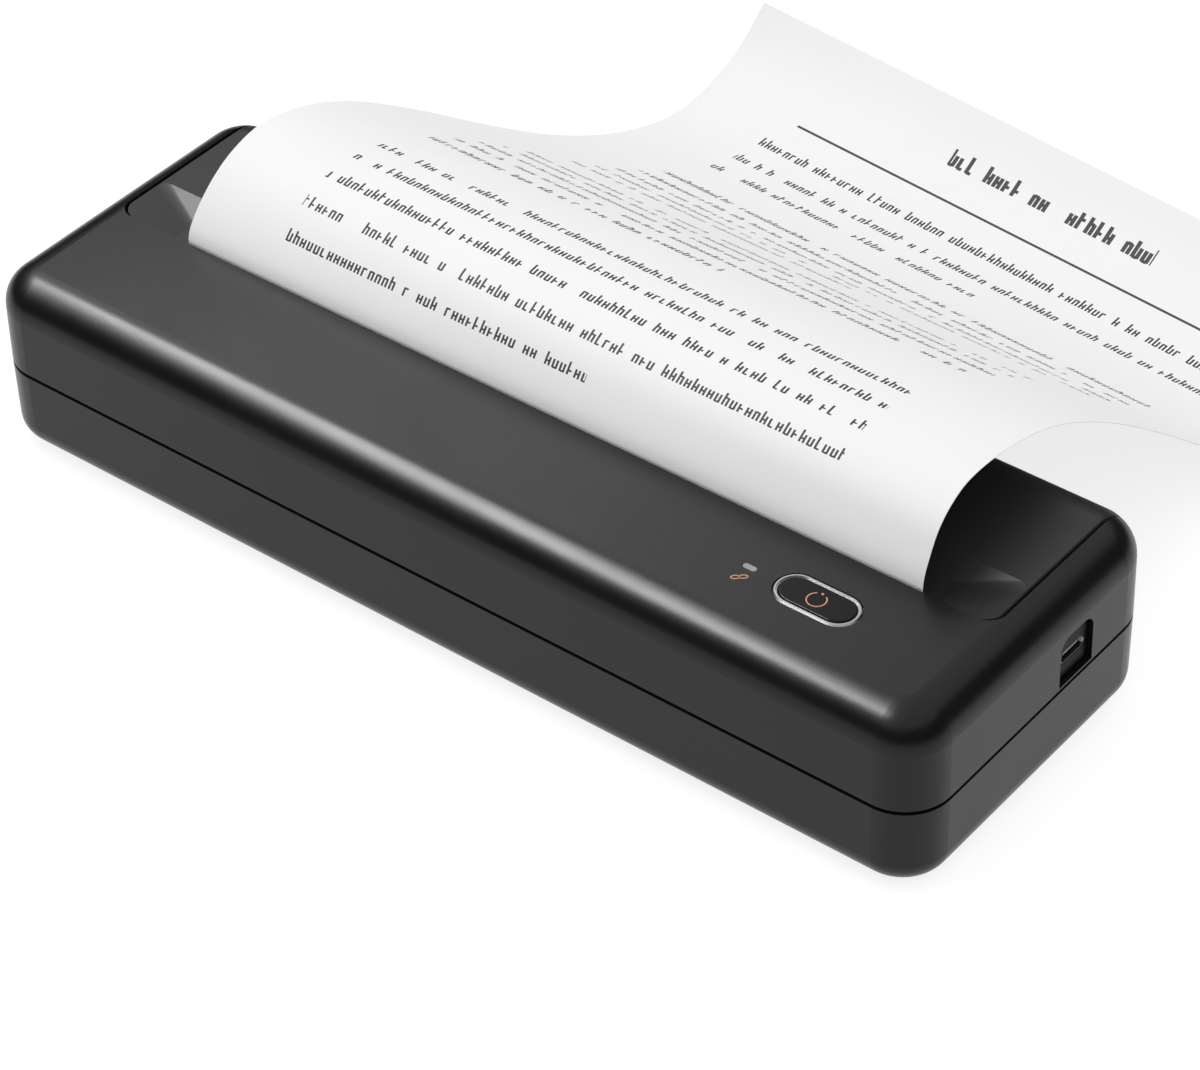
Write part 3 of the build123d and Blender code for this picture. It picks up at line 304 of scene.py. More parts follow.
def sheet_steel(name, colour, rough):
    material, tree, shader = shader_of(name, Metallic=1.0)
    made = use(tree, rolled)
    highlight_and_wear_mask = use(tree, edges, {"Width": 0.0002})["Mask"]
    # Edges painted near white: partly a painted highlight, partly bare metal where they are
    # rubbed.
    highlight_and_wear_share = maths(tree, "MULTIPLY", highlight_and_wear_mask, 0.4)
    body = blended(tree, made["Bloom"], colour, toned(colour, 0.8))
    lay(
        tree, shader, blended(tree, highlight_and_wear_share, body, (0.9, 0.9, 0.9)), made["Scratch"], 0.000008,
        rough=spread(tree, made["Scratch"], rough - 0.08, rough + 0.12),
    )
    return material


zinc_plate = sheet_steel("zinc_plated_steel", (0.60, 0.61, 0.63), 0.36)
dress(zinc_plate, "left_side_frame", "right_side_frame", "head_beam")


# ---- screws, pins, shafts and springs ----
# Machined steel: turned pins and shafts with fine rings round them, and pan
# heads with the tool's circles. The head's springs, which shorten as it tilts, get a mesh of their
# own here.
def turned_rings():
    """The rings that a lathe leaves round X, and a little cloudiness."""
    tree, given, out = effect("turned_rings", {"Rings per metre": 900.0}, ("Height", "Cloud"))
    where = object_place(tree)
    rings = place(
        tree, "TexWave", {"Vector": where, "Scale": given[0], "Distortion": 0.6, "Detail": 2.0},
        bands_direction="X", wave_profile="SAW",
    )
    tree.links.new(rings.outputs["Fac"], out["Height"])
    tree.links.new(noise(tree, where, 300.0, Detail=3.0), out["Cloud"])
    return tree


lathe = turned_rings()


def turned_metal(name, colour, rough):
    material, tree, shader = shader_of(name, Metallic=1.0)
    made = use(tree, lathe)
    lay(
        tree, shader, blended(tree, made["Cloud"], colour, toned(colour, 0.82)),
        made["Height"], 0.000006, rough=spread(tree, made["Cloud"], rough - 0.06, rough + 0.1),
    )
    return material


bright_steel = turned_metal("turned_steel", (0.66, 0.66, 0.68), 0.26)
dress(bright_steel, "hinge_pins", "head_pivot_shaft", "platen_shaft", "motor_shaft", "gear_axles")
dress(bright_steel, "axle_ring", "platen_rings", "head_springs")
screw_steel = turned_metal("blackened_screw_steel", (0.16, 0.16, 0.17), 0.34)
dress(screw_steel, "case_screws", "frame_screws", "board_screws", "carrier_screws")
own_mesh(nodes["head_springs"])


# ---- thermal head ----
# A ceramic strip with a glazed heater line, bonded to an extruded aluminium
# heat sink that rocks on a shaft, with an epoxy cap over its driver chips.
def heat_sink_metal():
    material, tree, shader = shader_of("extruded_aluminium", Metallic=1.0)
    scratch = use(tree, rolled, {"Lines per metre": 1400.0})["Scratch"]
    lay(
        tree, shader, blended(tree, scratch, (0.78, 0.79, 0.80), (0.6, 0.61, 0.62)),
        scratch, 0.000012, rough=spread(tree, scratch, 0.24, 0.5),
    )
    return material


def near(tree, value, goal, reach):
    """1 where the value lies within reach of the goal."""
    return maths(tree, "COMPARE", value, goal, reach)


def stripes(tree, value, count, share):
    """1 on the first share of each stripe, with this count of stripes to a value of 1."""
    inside = maths(tree, "FRACT", maths(tree, "MULTIPLY", value, count))
    return maths(tree, "LESS_THAN", inside, share)


def heater_ceramic():
    """Cream ceramic under glaze, with a dark heater line and the fine comb of leads below it."""
    material, tree, shader = shader_of("glazed_ceramic", Coat_Roughness=0.06, IOR=1.55)
    where = object_place(tree)
    along, _, height = place(tree, "SeparateXYZ", {0: where}).outputs
    leads_top, line_height, line_reach = 0.0362, 0.0365, 0.00022
    under_line = maths(tree, "LESS_THAN", height, leads_top)
    leads = maths(tree, "MULTIPLY", stripes(tree, along, 1600.0, 0.55), under_line)
    line = near(tree, height, line_height, line_reach)
    body = blended(tree, leads, (0.62, 0.55, 0.42), (0.5, 0.36, 0.16))
    tree.links.new(maths(tree, "MULTIPLY", leads, 0.7), shader["Metallic"])
    lay(
        tree, shader, blended(tree, line, body, (0.1, 0.055, 0.03)), line, 0.00004,
        rough=spread(tree, noise(tree, where, 900.0), 0.12, 0.24),
    )
    return material


dress(heat_sink_metal(), "head_heat_sink")
dress(heater_ceramic(), "heater_board")
dress(moulded_plastic("driver_epoxy", (0.014, 0.014, 0.015), 0.28, grain=900.0), "driver_cover")


# ---- head ribbon and connectors ----
# A flat ribbon of polyester film with a row of tinned tracks runs from the
# head's white connector to the board. The other connectors are the same nylon.
def ribbon_film():
    material, tree, shader = shader_of("ribbon_film", IOR=1.58)
    along = place(tree, "SeparateXYZ", {0: object_place(tree)}).outputs[0]
    track = stripes(tree, along, 1000.0, 0.5)
    lay(
        tree, shader, blended(tree, track, (0.74, 0.74, 0.71), (0.42, 0.43, 0.45)),
        track, 0.00003, rough=spread(tree, track, 0.22, 0.38),
    )
    return material


def nylon(name, colour, rough=0.42):
    """Natural nylon: a little see-through, with the flow marks of moulding."""
    material, tree, shader = shader_of(
        name, Subsurface_Weight=0.12, Subsurface_Scale=0.0008,
        Subsurface_Radius=(1.0, 0.9, 0.7), IOR=1.53,
    )
    where = object_place(tree)
    flow = noise(tree, where, 210.0, Detail=3.0, Distortion=1.2)
    fine = noise(tree, where, 2400.0)
    lay(
        tree, shader, blended(tree, flow, colour, toned(colour, 0.86)), fine, 0.00001,
        rough=spread(tree, fine, rough - 0.08, rough + 0.08),
    )
    return material


dress(ribbon_film(), "head_ribbon")
dress(nylon("white_nylon", (0.78, 0.77, 0.71)), "head_connector", "board_connectors")


# ---- platen ----
# A steel core with ground black rubber round it. It hangs in a folded steel
# carrier under the cover, in two acetal bushes held by spring rings.
dress(sheet_steel("carrier_steel", (0.52, 0.53, 0.55), 0.4), "platen_carrier")
dress(rubber("ground_platen_rubber", (0.02, 0.02, 0.021), 0.66, line_axis="X"), "platen_rubber")
acetal = nylon("natural_acetal", (0.82, 0.81, 0.77), 0.34)
dress(acetal, "platen_bushes")


# ---- gear train and motor ----
# Acetal gears on steel axles bring the motor's turns up to the platen. The
# motor is a flat plated can with a brass pinion on its shaft.
def plated_can():
    material, tree, shader = shader_of("plated_motor_can", Metallic=1.0)
    where = object_place(tree)
    seam = place(
        tree, "TexWave", {"Vector": where, "Scale": 60.0, "Distortion": 0.2}, bands_direction="X"
    ).outputs["Fac"]
    dulled = noise(tree, where, 420.0, Detail=4.0)
    lay(
        tree, shader, blended(tree, dulled, (0.5, 0.5, 0.51), (0.36, 0.36, 0.37)),
        seam, 0.000006, rough=spread(tree, dulled, 0.26, 0.46),
    )
    return material


dress(acetal, "platen_gear", "idler_gear")
dress(nylon("blue_grey_acetal", (0.33, 0.38, 0.42), 0.36), "reduction_gear")
dress(plated_can(), "drive_motor")
dress(turned_metal("pinion_brass", (0.80, 0.60, 0.30), 0.28), "motor_pinion")


# ---- paper guide, sensor and switch ----
# A black plate leads the paper from the roll to the platen, and an opaque
# photo-sensor looks at it through a gap. The button's switch is as black.
dress(inner_black, "paper_guide")
sensor_black = moulded_plastic("sensor_black", (0.02, 0.02, 0.022), 0.3, grain=1200.0)
dress(sensor_black, "paper_sensor", "tact_switch")


# ---- main board and port board ----
# Glass-epoxy boards with green solder mask over their tracks, screwed up under
# the front of the upper shell and behind the charging port.
def solder_mask():
    """Green mask over raised tracks that run square to each other, with pale drill rings."""
    material, tree, shader = shader_of("green_solder_mask", Coat_Weight=0.35, Coat_Roughness=0.12)
    where = object_place(tree)
    cells, dots = (
        place(
            tree, "TexVoronoi", {"Vector": where, "Scale": scale}, feature="F1", distance=distance
        ).outputs["Distance"]
        for scale, distance in ((190.0, "CHEBYCHEV"), (260.0, "EUCLIDEAN"))
    )
    track = stripes(tree, cells, 6.0, 0.34)
    via = maths(tree, "LESS_THAN", dots, 0.13)
    body = blended(tree, track, (0.016, 0.085, 0.042), (0.03, 0.15, 0.075))
    tree.links.new(maths(tree, "MULTIPLY", via, 0.8), shader["Metallic"])
    lay(
        tree, shader, blended(tree, via, body, (0.62, 0.6, 0.5)), track, 0.00003,
        rough=spread(tree, track, 0.32, 0.24),
    )
    return material


dress(solder_mask(), "main_board", "port_board")
dress(moulded_plastic("chip_epoxy", (0.016, 0.016, 0.017), 0.36, grain=3400.0), "board_chips")


# ---- batteries ----
# Two round lithium cells end to end, in a heat-shrunk blue sleeve, lying in
# saddles along the front of the lower shell.
def shrink_sleeve():
    material, tree, shader = shader_of(
        "blue_shrink_sleeve", Coat_Weight=0.5, Coat_Roughness=0.1, IOR=1.5
    )
    where = object_place(tree)
    drawn = place(tree, "Mapping", {"Vector": where, "Scale": (0.3, 1.0, 1.0)}).outputs[0]
    puckers = noise(tree, drawn, 260.0, Detail=3.0)
    lay(
        tree, shader, blended(tree, puckers, (0.04, 0.12, 0.30), (0.055, 0.16, 0.38)),
        puckers, 0.00008, rough=spread(tree, puckers, 0.2, 0.34),
    )
    return material


dress(shrink_sleeve(), "battery_cells")


# ---- leads ----
# Stranded wires in soft red and black vinyl, from the cells, the port board and
# the motor to plugs on the main board.
def vinyl(name, colour):
    material, tree, shader = shader_of(name, IOR=1.53)
    matt = noise(tree, object_place(tree), 1500.0)
    lay(
        tree, shader, blended(tree, matt, colour, toned(colour, 0.75)), matt, 0.00001,
        rough=spread(tree, matt, 0.34, 0.5),
    )
    return material


dress(vinyl("red_vinyl", (0.42, 0.03, 0.03)), "battery_lead")
dress(vinyl("black_vinyl", (0.02, 0.02, 0.02)), "port_lead", "motor_lead")


# ---- charging port ----
# A dull black bezel set back in the right end wall, round a socket shell of drawn
# steel with its contact tongue inside. The steel is painted nearly black and the bezel darker than
# the case: painted shade inside the port, on top of the bezel's own black.
# Darker than the case and almost without gloss: its own black, with the port's shade painted in.
bezel_black = moulded_plastic(
    "bezel_black", (0.0022, 0.0022, 0.0024), 0.34,
    grain=3000.0, depth=0.000004, edge_highlight=0.25, gloss_level=0.06,
)
dress(bezel_black, "port_bezel")


def socket_finish():
    """Drawn steel painted nearly black, as painted shade inside the port, round a pale contact
    tongue.
    """
    material, tree, shader = shader_of("socket_steel_and_tongue")
    tongue_height, tongue_reach = 0.0303, 0.0006
    made = use(tree, rolled)
    height = place(tree, "SeparateXYZ", {0: object_place(tree)}).outputs[2]
    tongue = near(tree, height, tongue_height, tongue_reach)
    # The steel's near-black colour is painted shade.
    steel = blended(tree, made["Bloom"], (0.10, 0.10, 0.105), (0.07, 0.07, 0.075))
    tree.links.new(maths(tree, "SUBTRACT", 1.0, tongue), shader["Metallic"])
    lay(
        tree, shader, blended(tree, tongue, steel, (0.55, 0.55, 0.56)), made["Scratch"], 0.000006,
        rough=spread(tree, made["Scratch"], 0.3, 0.5),
    )
    return material


dress(socket_finish(), "charging_socket")


# ---- paper roll ----
# Thermal paper wound tight on a card core, with a blue-grey flanged plug pushed
# into each end. Its hubs turn in the tray's cradles.
def paper_fibre():
    """The faint cloud and fibres of smooth paper."""
    tree, given, out = effect("paper_fibre", {"Scale": 1200.0}, ("Fibre", "Cloud"))
    where = object_place(tree)
    tree.links.new(noise(tree, where, given[0], Detail=5.0, Roughness=0.65), out["Fibre"])
    tree.links.new(noise(tree, where, 60.0, Detail=3.0), out["Cloud"])
    return tree


fibres = paper_fibre()
paper_white, paper_shade = (0.865, 0.865, 0.865), (0.84, 0.84, 0.84)


def wound_paper():
    """Paper seen edge-on at the roll's ends shows its turns as fine rings."""
    material, tree, shader = shader_of("wound_thermal_paper", Roughness=0.5, IOR=1.4)
    to_roll_centre = (0.0, -0.022, -0.024)
    laid = use(tree, fibres)
    moved = place(
        tree, "Mapping", {"Vector": object_place(tree), "Location": to_roll_centre}
    ).outputs[0]
    wound = place(
        tree, "TexWave", {"Vector": moved, "Scale": 900.0, "Distortion": 0.4},
        wave_type="RINGS", rings_direction="X",
    ).outputs["Fac"]
    normal = place(tree, "NewGeometry").outputs["Normal"]
    facing = place(tree, "SeparateXYZ", {0: normal}).outputs[0]
    on_end = maths(tree, "GREATER_THAN", maths(tree, "ABSOLUTE", facing), 0.9)
    turns = maths(tree, "MULTIPLY", wound, on_end)
    body = blended(tree, laid["Cloud"], paper_white, paper_shade)
    lay(
        tree, shader, blended(tree, maths(tree, "MULTIPLY", turns, 0.5), body, (0.6, 0.6, 0.6)),
        maths(tree, "ADD", laid["Fibre"], turns), 0.00001,
    )
    return material


def core_card():
    material, tree, shader = shader_of("core_card", Roughness=0.85)
    fibre = use(tree, fibres, {"Scale": 800.0})["Fibre"]
    colour = blended(tree, fibre, (0.36, 0.25, 0.15), (0.5, 0.38, 0.25))
    lay(tree, shader, colour, fibre, 0.00004)
    return material


dress(wound_paper(), "paper_roll")
dress(core_card(), "roll_core")
flange_grey = moulded_plastic("blue_grey_flange", (0.06, 0.082, 0.09), 0.36)
dress(flange_grey, "left_end_cap", "right_end_cap")


# ---- paper web ----
# The run of thermal paper inside the case, from the underside of the roll over
# the guide to the platen and up to the slot. It is held only by the nip.
def edge_line(name, points):
    """Points along a smooth line that takes the given points as its control points."""
    curve = bpy.data.curves.new(name, "CURVE")
    curve.dimensions, curve.resolution_u = "3D", 16
    spline = curve.splines.new("NURBS")
    spline.points.add(len(points) - 1)
    for made, point in zip(spline.points, points):
        made.co = (*point, 1)
    spline.order_u, spline.use_endpoint_u = 3, True
    holder = shown(name, curve)
    bpy.context.view_layer.update()
    settled = holder.evaluated_get(bpy.context.evaluated_depsgraph_get())
    mesh = bpy.data.meshes.new_from_object(settled)
    found = [vertex.co.copy() for vertex in mesh.vertices]
    bpy.data.objects.remove(holder)
    bpy.data.curves.remove(curve)
    bpy.data.meshes.remove(mesh)
    return found


def evenly(line, count):
    """The line cut into count equal steps along its length, and that length."""
    steps = [(b - a).length for a, b in zip(line, line[1:])]
    total = sum(steps)
    found, walked, index = [line[0].copy()], 0.0, 0
    for number in range(1, count):
        goal = total * number / count
        while walked + steps[index] < goal:
            walked += steps[index]
            index += 1
        share = (goal - walked) / steps[index]
        found.append(line[index].lerp(line[index + 1], share))
    found.append(line[-1].copy())
    return found, total


def paper_strip(name, left, right, across, along, materials):
    """Paper between two edge lines: a grid laid across them, then given its thickness."""
    thickness, sharp_turn = 0.00012, radians(50)
    left_steps, left_length = evenly(left, along)
    right_steps, right_length = evenly(right, along)
    mesh = bpy.data.meshes.new(name)
    form = bmesh.new()
    bmesh.ops.create_grid(form, x_segments=across, y_segments=along, size=0.5, calc_uvs=True)
    unwrapped = form.loops.layers.uv.verify()
    for face in form.faces:
        for corner in face.loops:
            corner[unwrapped].uv = (corner.vert.co.x + 0.5, corner.vert.co.y + 0.5)
    for vertex in form.verts:
        share, step = vertex.co.x + 0.5, round((vertex.co.y + 0.5) * along)
        vertex.co = left_steps[step].lerp(right_steps[step], share)
    bmesh.ops.recalc_face_normals(form, faces=form.faces)
    foremost = min(form.faces, key=lambda face: face.calc_center_median().y)
    if foremost.normal.y > 0:
        bmesh.ops.reverse_faces(form, faces=form.faces)
    bmesh.ops.solidify(form, geom=form.faces[:], thickness=thickness)
    form.to_mesh(mesh)
    form.free()
    for material in materials:
        mesh.materials.append(material)
    for polygon in mesh.polygons:
        polygon.use_smooth = True
    mesh.set_sharp_from_angle(angle=sharp_turn)
    return shown(name, mesh), (left_length + right_length) / 2


paper_body = {"IOR": 1.4, "Specular IOR Level": 0.1}


def paper_finish(tree, shader, laid, colour):
    """Smooth coated paper: the fibres barely raise it and barely dull it."""
    rough = spread(tree, laid["Fibre"], 0.46, 0.6)
    lay(tree, shader, colour, laid["Fibre"], 0.000012, rough=rough)


def plain_paper():
    material, tree, shader = shader_of("thermal_paper", **paper_body)
    laid = use(tree, fibres)
    paper_finish(tree, shader, laid, blended(tree, laid["Cloud"], paper_white, paper_shade))
    return material


blank_paper = plain_paper()
web_low, web_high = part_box("paper_web")
web_route = [
    (0.0108, 0.0146), (0.0031, 0.0238), (-0.0046, 0.0328), (-0.00585, 0.0345),
    (-0.00602, 0.0372), (-0.00602, 0.0410), (-0.00602, 0.0455),
]
web, web_length = paper_strip(
    "paper_web_run",
    edge_line("web_left", [(web_low.x, y, z) for y, z in web_route]),
    edge_line("web_right", [(web_high.x, y, z) for y, z in web_route]),
    across=24, along=48, materials=[blank_paper],
)
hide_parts("paper_web")
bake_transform(web)


# ---- paper sheet ----
# The printed page: the same paper, pushed up out of the slot. It springs up,
# arches over the roll cover, touches the table behind and curls up at its end.
def joined(tree, operation, *masks):
    """Masks joined by MAXIMUM, for any of them, or by MULTIPLY, for all of them."""
    found = masks[0]
    for mask in masks[1:]:
        found = maths(tree, operation, found, mask)
    return found


def above(tree, value, goal):
    return maths(tree, "GREATER_THAN", value, goal)


def below(tree, value, goal):
    return maths(tree, "LESS_THAN", value, goal)


def row_of_marks(tree, across, height, row, pitch, half, stroke):
    """Marks of one or two posts and a bar, drawn by lot, that stand for a line of print."""
    shift_by_row, tall_above, second_above, mark_above = 97.0, 0.7, 0.25, 0.17
    luck = place(tree, "TexWhiteNoise", {"W": row}, noise_dimensions="1D").outputs["Value"]
    shift = maths(tree, "MULTIPLY", luck, shift_by_row)
    counted = maths(tree, "ADD", maths(tree, "DIVIDE", across, pitch), shift)
    cell = place(tree, "CombineXYZ", {0: maths(tree, "FLOOR", counted), 1: row}).outputs[0]
    drawn = place(tree, "TexWhiteNoise", {"Vector": cell}, noise_dimensions="2D").outputs
    rise_lot, post_lot, bar_lot = place(tree, "SeparateColor", {0: drawn["Color"]}).outputs
    inside = maths(tree, "MULTIPLY", maths(tree, "FRACT", counted), pitch)
    rise = maths(tree, "MULTIPLY", above(tree, rise_lot, tall_above), half)
    first_post = joined(
        tree, "MULTIPLY", near(tree, inside, pitch * 0.2, stroke),
        below(tree, height, maths(tree, "ADD", rise, half)), above(tree, height, -half),
    )
    second_post = joined(
        tree, "MULTIPLY", near(tree, inside, pitch * 0.68, stroke),
        below(tree, maths(tree, "ABSOLUTE", height), half), above(tree, post_lot, second_above),
    )
    step = maths(tree, "ROUND", maths(tree, "MULTIPLY", bar_lot, 2.0))
    rung = maths(tree, "MULTIPLY", maths(tree, "SUBTRACT", step, 1.0), half * 0.85)
    bar = joined(
        tree, "MULTIPLY", near(tree, inside, pitch * 0.44, pitch * 0.24),
        near(tree, maths(tree, "SUBTRACT", height, rung), 0.0, stroke * 0.8),
    )
    mark = joined(tree, "MAXIMUM", first_post, second_post, bar)
    return joined(tree, "MULTIPLY", mark, above(tree, drawn["Value"], mark_above))


def printed_paper(width, length):
    """Paper with paragraphs of marks, a heading and a rule, all laid out in millimetres."""
    top = length * 1000
    rows_from, rows_to, row_pitch, rows_in_paragraph = 9.0, top - 33.0, 9.2, 6.0
    left_margin, right_margin, last_row_short_by = 26.0, 182.0, 66.0
    rule_at, rule_half, rule_middle, rule_reach = top - 26.0, 0.34, 105.0, 74.0
    heading_at, heading_middle, heading_reach, heading_lot = top - 15.0, 108.0, 33.0, 40.0
    material, tree, shader = shader_of("printed_thermal_paper", **paper_body)
    laid = use(tree, fibres)
    unwrapped = place(tree, "UVMap").outputs[0]
    across, along, _ = place(tree, "SeparateXYZ", {0: unwrapped}).outputs
    across = maths(tree, "MULTIPLY", across, width * 1000)
    along = maths(tree, "MULTIPLY", along, top)
    rows = maths(tree, "DIVIDE", along, row_pitch)
    row = maths(tree, "FLOOR", rows)
    row_middle = maths(tree, "SUBTRACT", maths(tree, "FRACT", rows), 0.5)
    turn = maths(tree, "MODULO", row, rows_in_paragraph)
    short = maths(tree, "MULTIPLY", below(tree, turn, 1.5), last_row_short_by)
    body_text = joined(
        tree, "MULTIPLY",
        row_of_marks(
            tree, across, maths(tree, "MULTIPLY", row_middle, row_pitch), row,
            pitch=2.1, half=1.05, stroke=0.28,
        ),
        above(tree, turn, 0.5), above(tree, across, left_margin),
        below(tree, across, maths(tree, "SUBTRACT", right_margin, short)),
        above(tree, along, rows_from), below(tree, along, rows_to),
    )
    heading = joined(
        tree, "MULTIPLY",
        row_of_marks(
            tree, across, maths(tree, "SUBTRACT", along, heading_at), heading_lot,
            pitch=3.0, half=1.6, stroke=0.58,
        ),
        near(tree, across, heading_middle, heading_reach),
    )
    rule = joined(
        tree, "MULTIPLY", near(tree, along, rule_at, rule_half),
        near(tree, across, rule_middle, rule_reach),
    )
    ink = maths(tree, "MULTIPLY", joined(tree, "MAXIMUM", body_text, heading, rule), 0.96)
    body = blended(tree, laid["Cloud"], paper_white, paper_shade)
    paper_finish(tree, shader, laid, blended(tree, ink, body, (0.03, 0.03, 0.034)))
    return material


# Millimetres: how far each edge has drifted to the right, then its depth and height.
left_edge = [
    (0, -6.05, 45.6), (0, -6.15, 48.4), (0, -5.2, 50.9), (0, -3.9, 52.7), (0, -2.6, 54.3),
    (0, -1.2, 55.8), (0, 0.3, 57.2), (0, 1.9, 58.6), (0, 3.6, 59.9), (0, 5.4, 61.1),
    (0, 7.4, 62.3), (0, 9.7, 63.4), (0, 12.4, 64.4), (0, 16.8, 65.6), (0, 21.9, 66.1),
    (0.2, 28.0, 65.4), (0.4, 33.4, 64.1), (0.6, 38.1, 62.7), (1.0, 44.5, 60.2),
    (1.6, 50.9, 57.1), (2.4, 57.1, 53.7), (3.2, 63.3, 49.8), (4.0, 69.5, 45.8),
    (4.9, 75.8, 41.6), (5.8, 82.1, 37.1), (6.7, 88.6, 32.6), (7.5, 95.1, 28.1),
    (8.4, 101.7, 23.7), (9.4, 108.4, 19.4), (10.3, 115.2, 15.3), (11.2, 122.0, 11.6),
    (12.2, 129.0, 8.2), (13.2, 136.1, 5.2), (14.1, 143.2, 2.7), (15.4, 152.3, 0.6),
    (16.2, 158.5, 0.15), (16.8, 162.9, 0.3), (17.4, 167.1, 1.1), (18.0, 173.2, 2.9),
    (18.7, 179.0, 5.7), (19.1, 183.3, 8.4), (19.6, 187.2, 11.6), (19.9, 190.7, 15.0),
    (20.3, 193.8, 18.5),
]
right_edge = [
    (0, -6.05, 45.6), (0, -6.1, 48.4), (0, -5.7, 50.7), (0, -4.7, 53.4), (0, -3.0, 56.9),
    (0, -1.4, 59.9), (0, 1.0, 62.6), (0, 4.4, 65.0), (0, 8.6, 66.8), (0, 14.0, 67.2),
    (0, 20.5, 66.8), (0, 28.0, 65.4), (0, 35.9, 63.3), (0, 42.8, 60.6), (0.2, 49.8, 57.1),
    (0.6, 57.0, 53.0), (1.1, 63.9, 48.6), (1.8, 70.6, 44.0), (2.6, 77.0, 39.2),
    (3.6, 83.2, 34.4), (4.6, 89.2, 29.6), (5.7, 95.0, 24.8), (6.9, 100.8, 20.2),
    (8.1, 106.6, 16.0), (9.3, 112.5, 12.0), (10.5, 118.5, 8.4), (11.6, 124.3, 5.2),
    (12.6, 130.0, 2.6), (13.6, 135.8, 0.8), (14.5, 141.2, 0.15), (15.2, 145.6, 0.9),
    (16.1, 151.2, 2.9), (17.0, 156.7, 5.7), (17.6, 160.8, 8.4), (18.2, 164.5, 11.6),
    (18.6, 167.9, 15.0), (19.0, 170.9, 18.5),
]
sheet_low, sheet_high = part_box("paper_sheet")
left_line, right_line = (
    edge_line(name, [(side + x / 1000, y / 1000, z / 1000) for x, y, z in edge])
    for name, side, edge in (
        ("sheet_left", sheet_low.x, left_edge), ("sheet_right", sheet_high.x, right_edge)
    )
)
sheet_width = sheet_high.x - sheet_low.x
_, left_length = evenly(left_line, 1)
sheet, sheet_length = paper_strip(
    "printed_page", left_line, right_line, across=48, along=160,
    materials=[printed_paper(sheet_width, left_length), blank_paper],
)
upper_side, printed_lean = Vector((0.0, -0.45, 0.89)), 0.3
for polygon in sheet.data.polygons:
    polygon.material_index = 0 if polygon.normal.dot(upper_side) > printed_lean else 1
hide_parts("paper_sheet")
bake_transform(sheet)


# ---- roll cover ----
# The hinged rear lid, moulded in a duller charcoal ABS, with a shallow recess
# under the paper. It turns on two steel pins and lifts the platen off the head.
cover_abs = moulded_plastic("cover_abs", (0.0145, 0.0140, 0.0136), 0.42, gloss_level=0.30)
dress(cover_abs, "roll_cover")


# ---- button ring ----
# A satin-chromed trim ring pressed into the upper shell round the button.
def satin_chrome():
    material, tree, shader = shader_of("satin_chrome", Metallic=1.0)
    scratch = use(tree, rolled, {"Lines per metre": 2600.0})["Scratch"]
    lay(
        tree, shader, blended(tree, scratch, (0.33, 0.33, 0.34), (0.29, 0.29, 0.30)),
        scratch, 0.000001, rough=spread(tree, scratch, 0.24, 0.32),
    )
    return material


dress(satin_chrome(), "button_ring")


# ---- power button ----
# A gloss black key that slides in the ring and presses the switch below it,
# with the plain on-off sign printed on it in copper ink.
def transfer_ink(name, colour):
    """Pad-printed ink: thin, slightly broken, with a dull metallic sheen."""
    material, tree, shader = shader_of(name, Metallic=0.35)
    broken = noise(tree, object_place(tree), 5200.0)
    lay(
        tree, shader, blended(tree, broken, colour, toned(colour, 0.78)), broken, 0.000003,
        rough=spread(tree, broken, 0.4, 0.55),
    )
    return material


def built(name, form, material):
    """An object made of a finished bmesh, in one material."""
    mesh = bpy.data.meshes.new(name)
    form.to_mesh(mesh)
    form.free()
    mesh.materials.append(material)
    return shown(name, mesh)


def printed_sign(name, form, body):
    """A sign of copper ink, on the body that carries it."""
    bmesh.ops.recalc_face_normals(form, faces=form.faces)
    made = built(name, form, copper_ink)
    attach(made, body)


key_black = moulded_plastic(
    "gloss_black_key", (0.006, 0.006, 0.007), 0.16,
    grain=5200.0, depth=0.000002, edge_highlight=0.25, gloss_level=0.12,
)
dress(key_black, "power_button")
copper_ink = transfer_ink("copper_ink", (0.56, 0.27, 0.15))
sign_centre = Vector((0.0912, -0.0225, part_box("power_button")[1].z))
sign_radius, sign_line, sign_gap, ink_height = 0.0022, 0.00028, radians(64), 0.00003
dot_foot, dot_top = 0.00032, 0.00030
on_ring = Matrix.Translation(sign_centre + Vector((0, sign_radius, ink_height / 2)))
sign = bmesh.new()
bmesh.ops.create_grid(
    sign, x_segments=1, y_segments=1, size=0.5,
    matrix=on_ring @ Euler((0, pi / 2, 0)).to_matrix().to_4x4()
    @ Matrix.Diagonal((ink_height, sign_line, 1, 1)),
)
bmesh.ops.rotate(
    sign, verts=sign.verts, cent=sign_centre,
    matrix=Euler((0, 0, -sign_gap / 2)).to_matrix(),
)
bmesh.ops.spin(
    sign, geom=sign.verts[:] + sign.edges[:] + sign.faces[:], cent=sign_centre,
    axis=(0, 0, -1), angle=2 * pi - sign_gap, steps=48, use_duplicate=False,
)
bmesh.ops.holes_fill(sign, edges=[edge for edge in sign.edges if edge.is_boundary])
bmesh.ops.create_cone(
    sign, cap_ends=True, segments=20, radius1=dot_foot, radius2=dot_top, depth=ink_height,
    matrix=on_ring,
)
printed_sign("power_sign", sign, "button")


# ---- status light and its sign ----
# A frosted acrylic light pipe flush with the shell, and a sign of two chained
# links printed in front of it in the same copper ink.
def frosted_acrylic():
    material, tree, shader = shader_of(
        "frosted_acrylic", Subsurface_Weight=0.4, Subsurface_Scale=0.001, IOR=1.49
    )
    frost = noise(tree, object_place(tree), 4200.0)
    lay(
        tree, shader, blended(tree, frost, (0.30, 0.30, 0.31), (0.26, 0.26, 0.27)),
        frost, 0.000006, rough=spread(tree, frost, 0.3, 0.45),
    )
    return material


